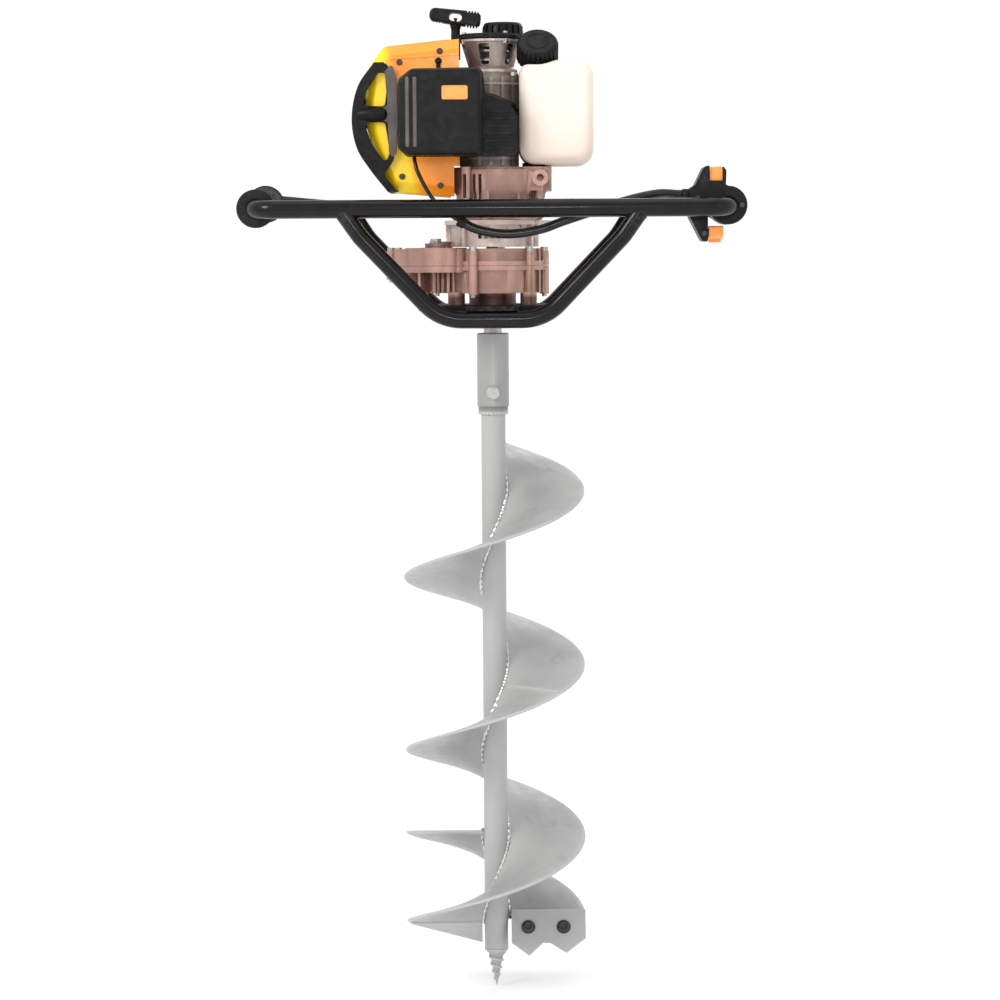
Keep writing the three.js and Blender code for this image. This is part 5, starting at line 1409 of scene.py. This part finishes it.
def build_throttle_housing():
    x, z = LOOP_HALF_WIDTH, HOUSING_Z
    front, rear = HOUSING_Y
    cheek = [
        (x - 42, -10), (x - 28, -37), (x - 22, -37), (x - 22, 0), (x - 3, 15), (x - 2, 40),
        (x - 6, 45), (x - 26, 45), (x - 36, 24), (x - 42, 21),
    ]
    collar = [(0, 0), (19, 0), (GRIP_RADIUS, 2), (GRIP_RADIUS, 40), (19, 42), (0, 42)]
    climb = Vector((0, 1, math.tan(math.radians(GRIP_CLIMB))))
    start = Vector((x, -90, grip_height(-90)))
    body = cut(
        join(
            turned_ring(collar, 64, (0, 1, 0), (x, front, z)),
            slab(cheek, [5, 4, 2, 7, 4, 4, 5, 6, 6, 5], "Y", front, rear),
        ),
        rod(10.9, start, start + climb * 90, 40),
        box((x - 20.5, x - 5.5), (front + 2.5, 0), (z + 21.5, 60)),
        box((x - 20.5, x - 5.5), (front - 5, 0), (z + 26.5, 60)),
        rod(6.4, (x - 47, -60, 14), (x - 32, -60, 14), 32),
        box((x - 43, x - 41.3), (-51.6, -50.4), (-9, 21)),
    )
    # The bore leaves very short edges here, which would hold the bevel back.
    place("throttle_body", body, "black_plastic", replaces="throttle_housing", bevel=0.9, merge=3e-5)
    screws = [
        pin(2.9, screw_x, screw_z, front + 0.3, front - 1.2, 24)
        for screw_x, screw_z in ((x - 33, 10), (x - 26, -28), (x + 15, z))
    ]
    place("throttle_screws", together(screws), "steel", look=DARK_STEEL, bevel=0.4)


def build_trigger():
    y, z = TRIGGER_PIVOT
    low, high = span("throttle_trigger")
    blade = [
        (y - 4, z + 2), (y + 4, z + 2), (y + 14, z - 5), (y + 30, z - 9),
        (y + 31, z - 15), (y + 14, z - 13), (y - 2, z - 9),
    ]
    blade = slab(blade, [2, 3, 8, 2, 2, 12, 5], "X", low.x, high.x)
    ribs = [box((low.x + 2, high.x - 2), (y + d, y + d + 1.3), (z - 16, z - 12.2)) for d in (14, 18, 22, 26)]
    blade = together([blade, *ribs])
    place("trigger_blade", blade, "orange_plastic", "trigger", "throttle_trigger", bevel=1.2)


def build_lockout():
    y, z = LOCKOUT_PIVOT
    low, high = span("throttle_lockout")
    lever = [
        (y - 3, z - 2), (y + 31, z + 1), (y + 32, z + 9), (y + 20, z + 15), (y + 2, z + 14), (y - 3, z + 9),
    ]
    lever = slab(lever, [1.5, 1.5, 4, 8, 6, 4], "X", low.x, high.x)
    grooves = [box((low.x - 1, high.x + 1), (y + d, y + d + 1.3), (z + 13.8, z + 20)) for d in (5, 9, 13)]
    place("palm_lever", cut(lever, *grooves), "orange_plastic", "lockout", "throttle_lockout", bevel=1.2)


def build_stop_switch():
    low, high = span("stop_switch")
    plate = box((high.x - 2, high.x), (-50, -38), (-3, 7))
    knob = box((low.x, high.x - 1), (-47, -41), (0, 4))
    ribs = [box((low.x, low.x + 0.9), (y, y + 0.7), (0.2, 3.8)) for y in (-46, -44.4, -42.8)]
    slide = together([plate, knob, *ribs])
    place("switch_slide", slide, "orange_plastic", "switch", "stop_switch", bevel=0.6)


CABLE_Y = -82
CONDUIT_ROUTE = [
    (-35, CABLE_Y, -13), (-14, CABLE_Y, -23), (18, CABLE_Y, -27.5), (52, CABLE_Y, -23), (78, CABLE_Y, -14),
    (112, CABLE_Y, -3), (147, CABLE_Y + 1, 8), (180, CABLE_Y + 8, 15), (203, -61.5, 14.5), (219, -60, 14),
]
CABLE_ROUTE = [
    (-84, -71, 56), (-80, -77, 40), (-66, CABLE_Y - 1, 14), (-50, CABLE_Y - 0.5, -3), (-35.3, CABLE_Y, -12.8),
]


def build_cables():
    conduit = spline(CONDUIT_ROUTE, 6)
    piece = place("conduit", sweep(conduit, 5, 24), "rubber", replaces="throttle_conduit", look=HOSE)
    declare_cord(piece, conduit)
    cable = spline(CABLE_ROUTE, 8)
    piece = place("inner_cable", sweep(cable, 2.2, 16), "rubber", replaces="throttle_cable", look=HOSE)
    declare_cord(piece, cable)
    ferrule = [(3.4, 0), (5.6, 0), (6.2, 1.2), (6.2, 7), (5.2, 9), (5.05, 9)]
    ends = [
        turned_ring(ferrule, 36, (0.88, 0, -0.47), (-36.5, CABLE_Y, -12.4)),
        turned_ring(ferrule, 36, (-0.97, -0.22, 0.02), (215.5, -60.6, 14.1)),
    ]
    place("conduit_ferrules", together(ends), "rubber")


def declare_cord(piece, path):
    length = sum((b - a).length for a, b in zip(path, path[1:])) * MM
    centreline = [p * MM for p in path]
    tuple(centreline[0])


# ------------------------------------------------------------ drill

TUBE_RADIUS = 13.5
FLIGHT_RADIUS = 101.5
FLIGHT_PITCH = 196
FLIGHT_THICKNESS = 4
MAIN_END = (math.pi, -803)
MAIN_TURNS = 2.75
SECOND_END = (0, -799)
SECOND_TURNS = 0.5
CUTTER_SLOPE = 60
CUTTER_BOLTS = [(36, -15), (76, -15)]


def spiral(end, turns, steps):
    """Angles and heights up a spiral from its lower end."""
    angle, z = end
    return [
        (angle + TURN * turns * i / steps, z + FLIGHT_PITCH * turns * i / steps) for i in range(steps + 1)
    ]


def flight(end, turns):
    """A spiral plate with slightly rounded edges and hammered waves."""
    half, rim = FLIGHT_THICKNESS / 2, FLIGHT_RADIUS
    under = [
        (TUBE_RADIUS - 0.8, half), (40, half), (70, half), (rim - 6, half - 0.1), (rim - 1.2, half - 0.3),
        (rim, half - 1.5),
    ]
    section = [(r, -lift) for r, lift in under] + under[::-1]
    rings = []
    for angle, z in spiral(end, turns, int(turns * 96)):
        ring = []
        for radius, lift in section:
            reach = (radius / FLIGHT_RADIUS) ** 2
            wave = 0.45 * reach * noise.noise(Vector((*polar(2, angle), z / 60)))
            ring.append((*polar(radius, angle), z + lift + wave))
        rings.append(ring)
    return loft(rings)


def flight_weld(end, turns, side):
    """The rippled weld bead where a spiral meets the tube, above it or below it."""
    steps = int(turns * 150)
    lift = side * (FLIGHT_THICKNESS / 2 + 0.9)
    path = [(*polar(TUBE_RADIUS + 1, angle), z + lift) for angle, z in spiral(end, turns, steps)]

    def thickness(share):
        place_on_bead = share * steps
        patch = noise.noise(Vector((place_on_bead * 0.05, side * 3.1, 0)))
        return 2.3 + 0.5 * math.sin(place_on_bead * 1.25) + 0.9 * patch

    return sweep(path, thickness, 8)


def build_flights():
    half_turns = MAIN_TURNS / 2
    joint_angle, joint_z = MAIN_END[0] + TURN * half_turns, MAIN_END[1] + FLIGHT_PITCH * half_turns
    place("spiral_lower", flight(MAIN_END, half_turns), "drill_paint", "drill", "lower_flight")
    place("spiral_upper", flight((joint_angle, joint_z), half_turns), "drill_paint", "drill", "upper_flight")
    beads = [
        flight_weld(end, turns, side)
        for end, turns in ((MAIN_END, MAIN_TURNS), (SECOND_END, SECOND_TURNS))
        for side in (-1, 1)
    ]
    place("spiral_welds", together(beads), "drill_paint", "drill", look=WELD_STEEL)
    start, end = [(*polar(r, joint_angle), joint_z + 2) for r in (TUBE_RADIUS + 2, FLIGHT_RADIUS - 2)]
    place("spiral_joint_weld", weld_line(start, end, 1.5), "drill_paint", "drill")


def on_slope(solid, lift=0.0):
    """Puts a plate that is drawn flat, x outwards and y up the slope, on the right cutting edge."""
    return solid.shifted(0, 0, lift).turned(CUTTER_SLOPE, "X").shifted(0, 0, SECOND_END[1])


def build_cutter():
    holes = [post(4.3, x, y, -20, 20, 32) for x, y in CUTTER_BOLTS]
    holder = [(17, 2), (17, -30), (90, -30), (98, -24), (98, 2)]
    plate = cut(slab(holder, [1, 4, 4, 4, 1], "Z", -5, 0, 4), *holes)
    second = join(flight(SECOND_END, SECOND_TURNS), on_slope(plate))
    place("spiral_second", second, "drill_paint", "drill", "second_flight", sharp=45)
    teeth = [(17, 6), (17, -32), (37, -47), (56, -29), (79, -44), (101, -27), (101, 6)]
    blade = cut(slab(teeth, [1, 1.5, 1, 6, 1, 1, 1], "Z", 0, 6, 4), *holes)
    place("cutter_blade", on_slope(blade, 2.3), "drill_paint", "drill", "toothed_cutter", bevel=0.6)
    dome = [(0, 8.6), (8, 8.6), (7.4, 11), (5.4, 12.6), (4, 12.9), (3.2, 12), (0, 12)]
    for i, (x, y) in enumerate(CUTTER_BOLTS, 1):
        head = turned_ring(dome, 40, centre=(x, y, 0))
        bolt = together([head, post(3.9, x, y, -12, 9, 28), post(7, x, y, -11, -5.3, 6)])
        name, node = f"blade_bolt_{i}", f"cutter_bolt_{i}"
        place(name, on_slope(bolt), "steel", "drill", node, look=DARK_STEEL, bevel=0.4)


def build_side_knife():
    top = span("side_knife")[1].z
    upper = [(-99, 0, top), (-16, 0, top), (-16, 6, top), (-99, 4, top)]
    lower = [(-97, 24, top - 8), (-16, 26, top - 30), (-16, 30, top - 27), (-97, 26, top - 6)]
    place("ice_knife", loft([upper, lower]), "drill_paint", "drill", "side_knife", bevel=0.9)
    bead = weld_line((-96, 0.5, top), (-18, 0.5, top), 1.9)
    place("ice_knife_weld", bead, "drill_paint", "drill")


def build_pilot():
    """A cone with a coarse screw thread wound down to its tip."""
    low, high = span("pilot_point")
    cone = [
        (0, high.z), (TUBE_RADIUS, high.z), (TUBE_RADIUS, high.z - 2), (8.4, high.z - 7), (6, high.z - 16),
        (4, high.z - 26), (2.6, high.z - 34), (0.9, low.z + 1), (0, low.z),
    ]
    turns, steps = 3.6, 36
    height = high.z - 6 - (low.z + 7)
    path = []
    for i in range(int(turns * steps) + 1):
        share = i / (turns * steps)
        path.append((*polar(8.0 - 5.6 * share, TURN * turns * share), high.z - 6 - height * share))
    thread = sweep(path, lambda share: 2.3 - 1.2 * share, 8)
    screw = turned_ring(cone, 48) + thread
    place("pilot_screw", screw, "drill_paint", "drill", "pilot_point", sharp=50)


def build_tube():
    low, high = span("auger_tube")
    tube = turned_ring(rectangle(TUBE_RADIUS - 3, TUBE_RADIUS, low.z, high.z), 64)
    place("drill_tube", tube, "drill_paint", "drill", "auger_tube", look=SHADED_TUBE_PAINT)
    low, high = span("auger_sleeve")
    radius, bore, socket = high.x, 10.4, TUBE_RADIUS + 0.2
    profile = [
        (bore, high.z), (radius - 1, high.z), (radius, high.z - 1), (radius, low.z + 8),
        (radius - 1.2, low.z + 6.8), (radius - 1.2, low.z + 3), (TUBE_RADIUS + 2, low.z),
        (socket, low.z), (socket, low.z + 14), (bore, low.z + 14),
    ]
    level = sum(corner.z for corner in span("coupling_bolt")) / 2
    sleeve = cut(turned_ring(profile, 72), pin(4.4, 0, level, -40, 40, 32))
    place("drill_sleeve", sleeve, "drill_paint", "drill", "auger_sleeve", look=SHADED_TUBE_PAINT, sharp=30)
    ring = [(x, y, low.z) for x, y in circle(TUBE_RADIUS + 1.4, 90)]
    bead = sweep(ring, lambda share: 1.8 + 0.35 * math.sin(share * TURN * 22), 8, closed=True)
    place("sleeve_weld", bead, "drill_paint", "drill")
    reach = radius + 1
    bolt = together([
        pin(4, 0, level, -reach, reach + 8, 28),
        hexagon_head((0, -reach + 0.4, level), (0, -1, 0), 12.4, 5),
        hexagon_head((0, reach - 0.4, level), (0, 1, 0), 12.4, 6),
        *[
            turned_ring([(3.9, d), (4.35, d + 0.5), (3.9, d + 1)], 28, (0, 1, 0), (0, reach + 6, level))
            for d in (0, 1.2)
        ],
    ])
    place("coupling_screw", bolt, "steel", "drill", "coupling_bolt", bevel=0.3)


# ------------------------------------------------------------ inside pieces that keep their CAD shape

KEPT = {
    "steel": [
        "output_bearing", "layshaft", "output_gear", "output_shaft",
        "clutch_drum", "crankshaft", "recoil_spring", "carburettor_lever",
    ],
    "iron": ["clutch_shoe_front", "clutch_shoe_rear"],
    "bright_aluminium": ["piston", "flywheel", "starter_pulley"],
    "black_plastic": ["ignition_coil"],
}


def dress_kept_nodes():
    for slot, names in KEPT.items():
        for name in names:
            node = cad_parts[name]
            node.data.materials.clear()
            node.data.materials.append(LOOKS[slot].material)
            round_edges(node, 0.3, 1, 40)


# ------------------------------------------------------------ the whole object


add_camera()
build_cables()
build_loop()
build_vee("vee_front", "front_vee_frame", -LOOP_HALF_DEPTH, 0)
build_vee("vee_rear", "rear_vee_frame", LOOP_HALF_DEPTH, REAR_RUN_Z)
build_grip("grip_left", "left_grip", -LOOP_HALF_WIDTH)
build_grip("grip_right", "right_grip", LOOP_HALF_WIDTH)
build_plate()
build_gearbox()
build_clutch_housing()
build_fan_case()
build_crankcase()
build_cylinder()
build_shroud()
build_guard()
build_spark_plug()
build_carburettor()
build_air_filter()
build_choke_lever()
build_muffler()
build_tank()
build_cap()
build_fuel_hose()
build_starter()
build_starter_inside()
build_pull_handle()
build_rope()
build_throttle_housing()
build_trigger()
build_lockout()
build_stop_switch()
build_tube()
build_flights()
build_cutter()
build_side_knife()
build_pilot()
dress_kept_nodes()
add_studio()
add_floor()
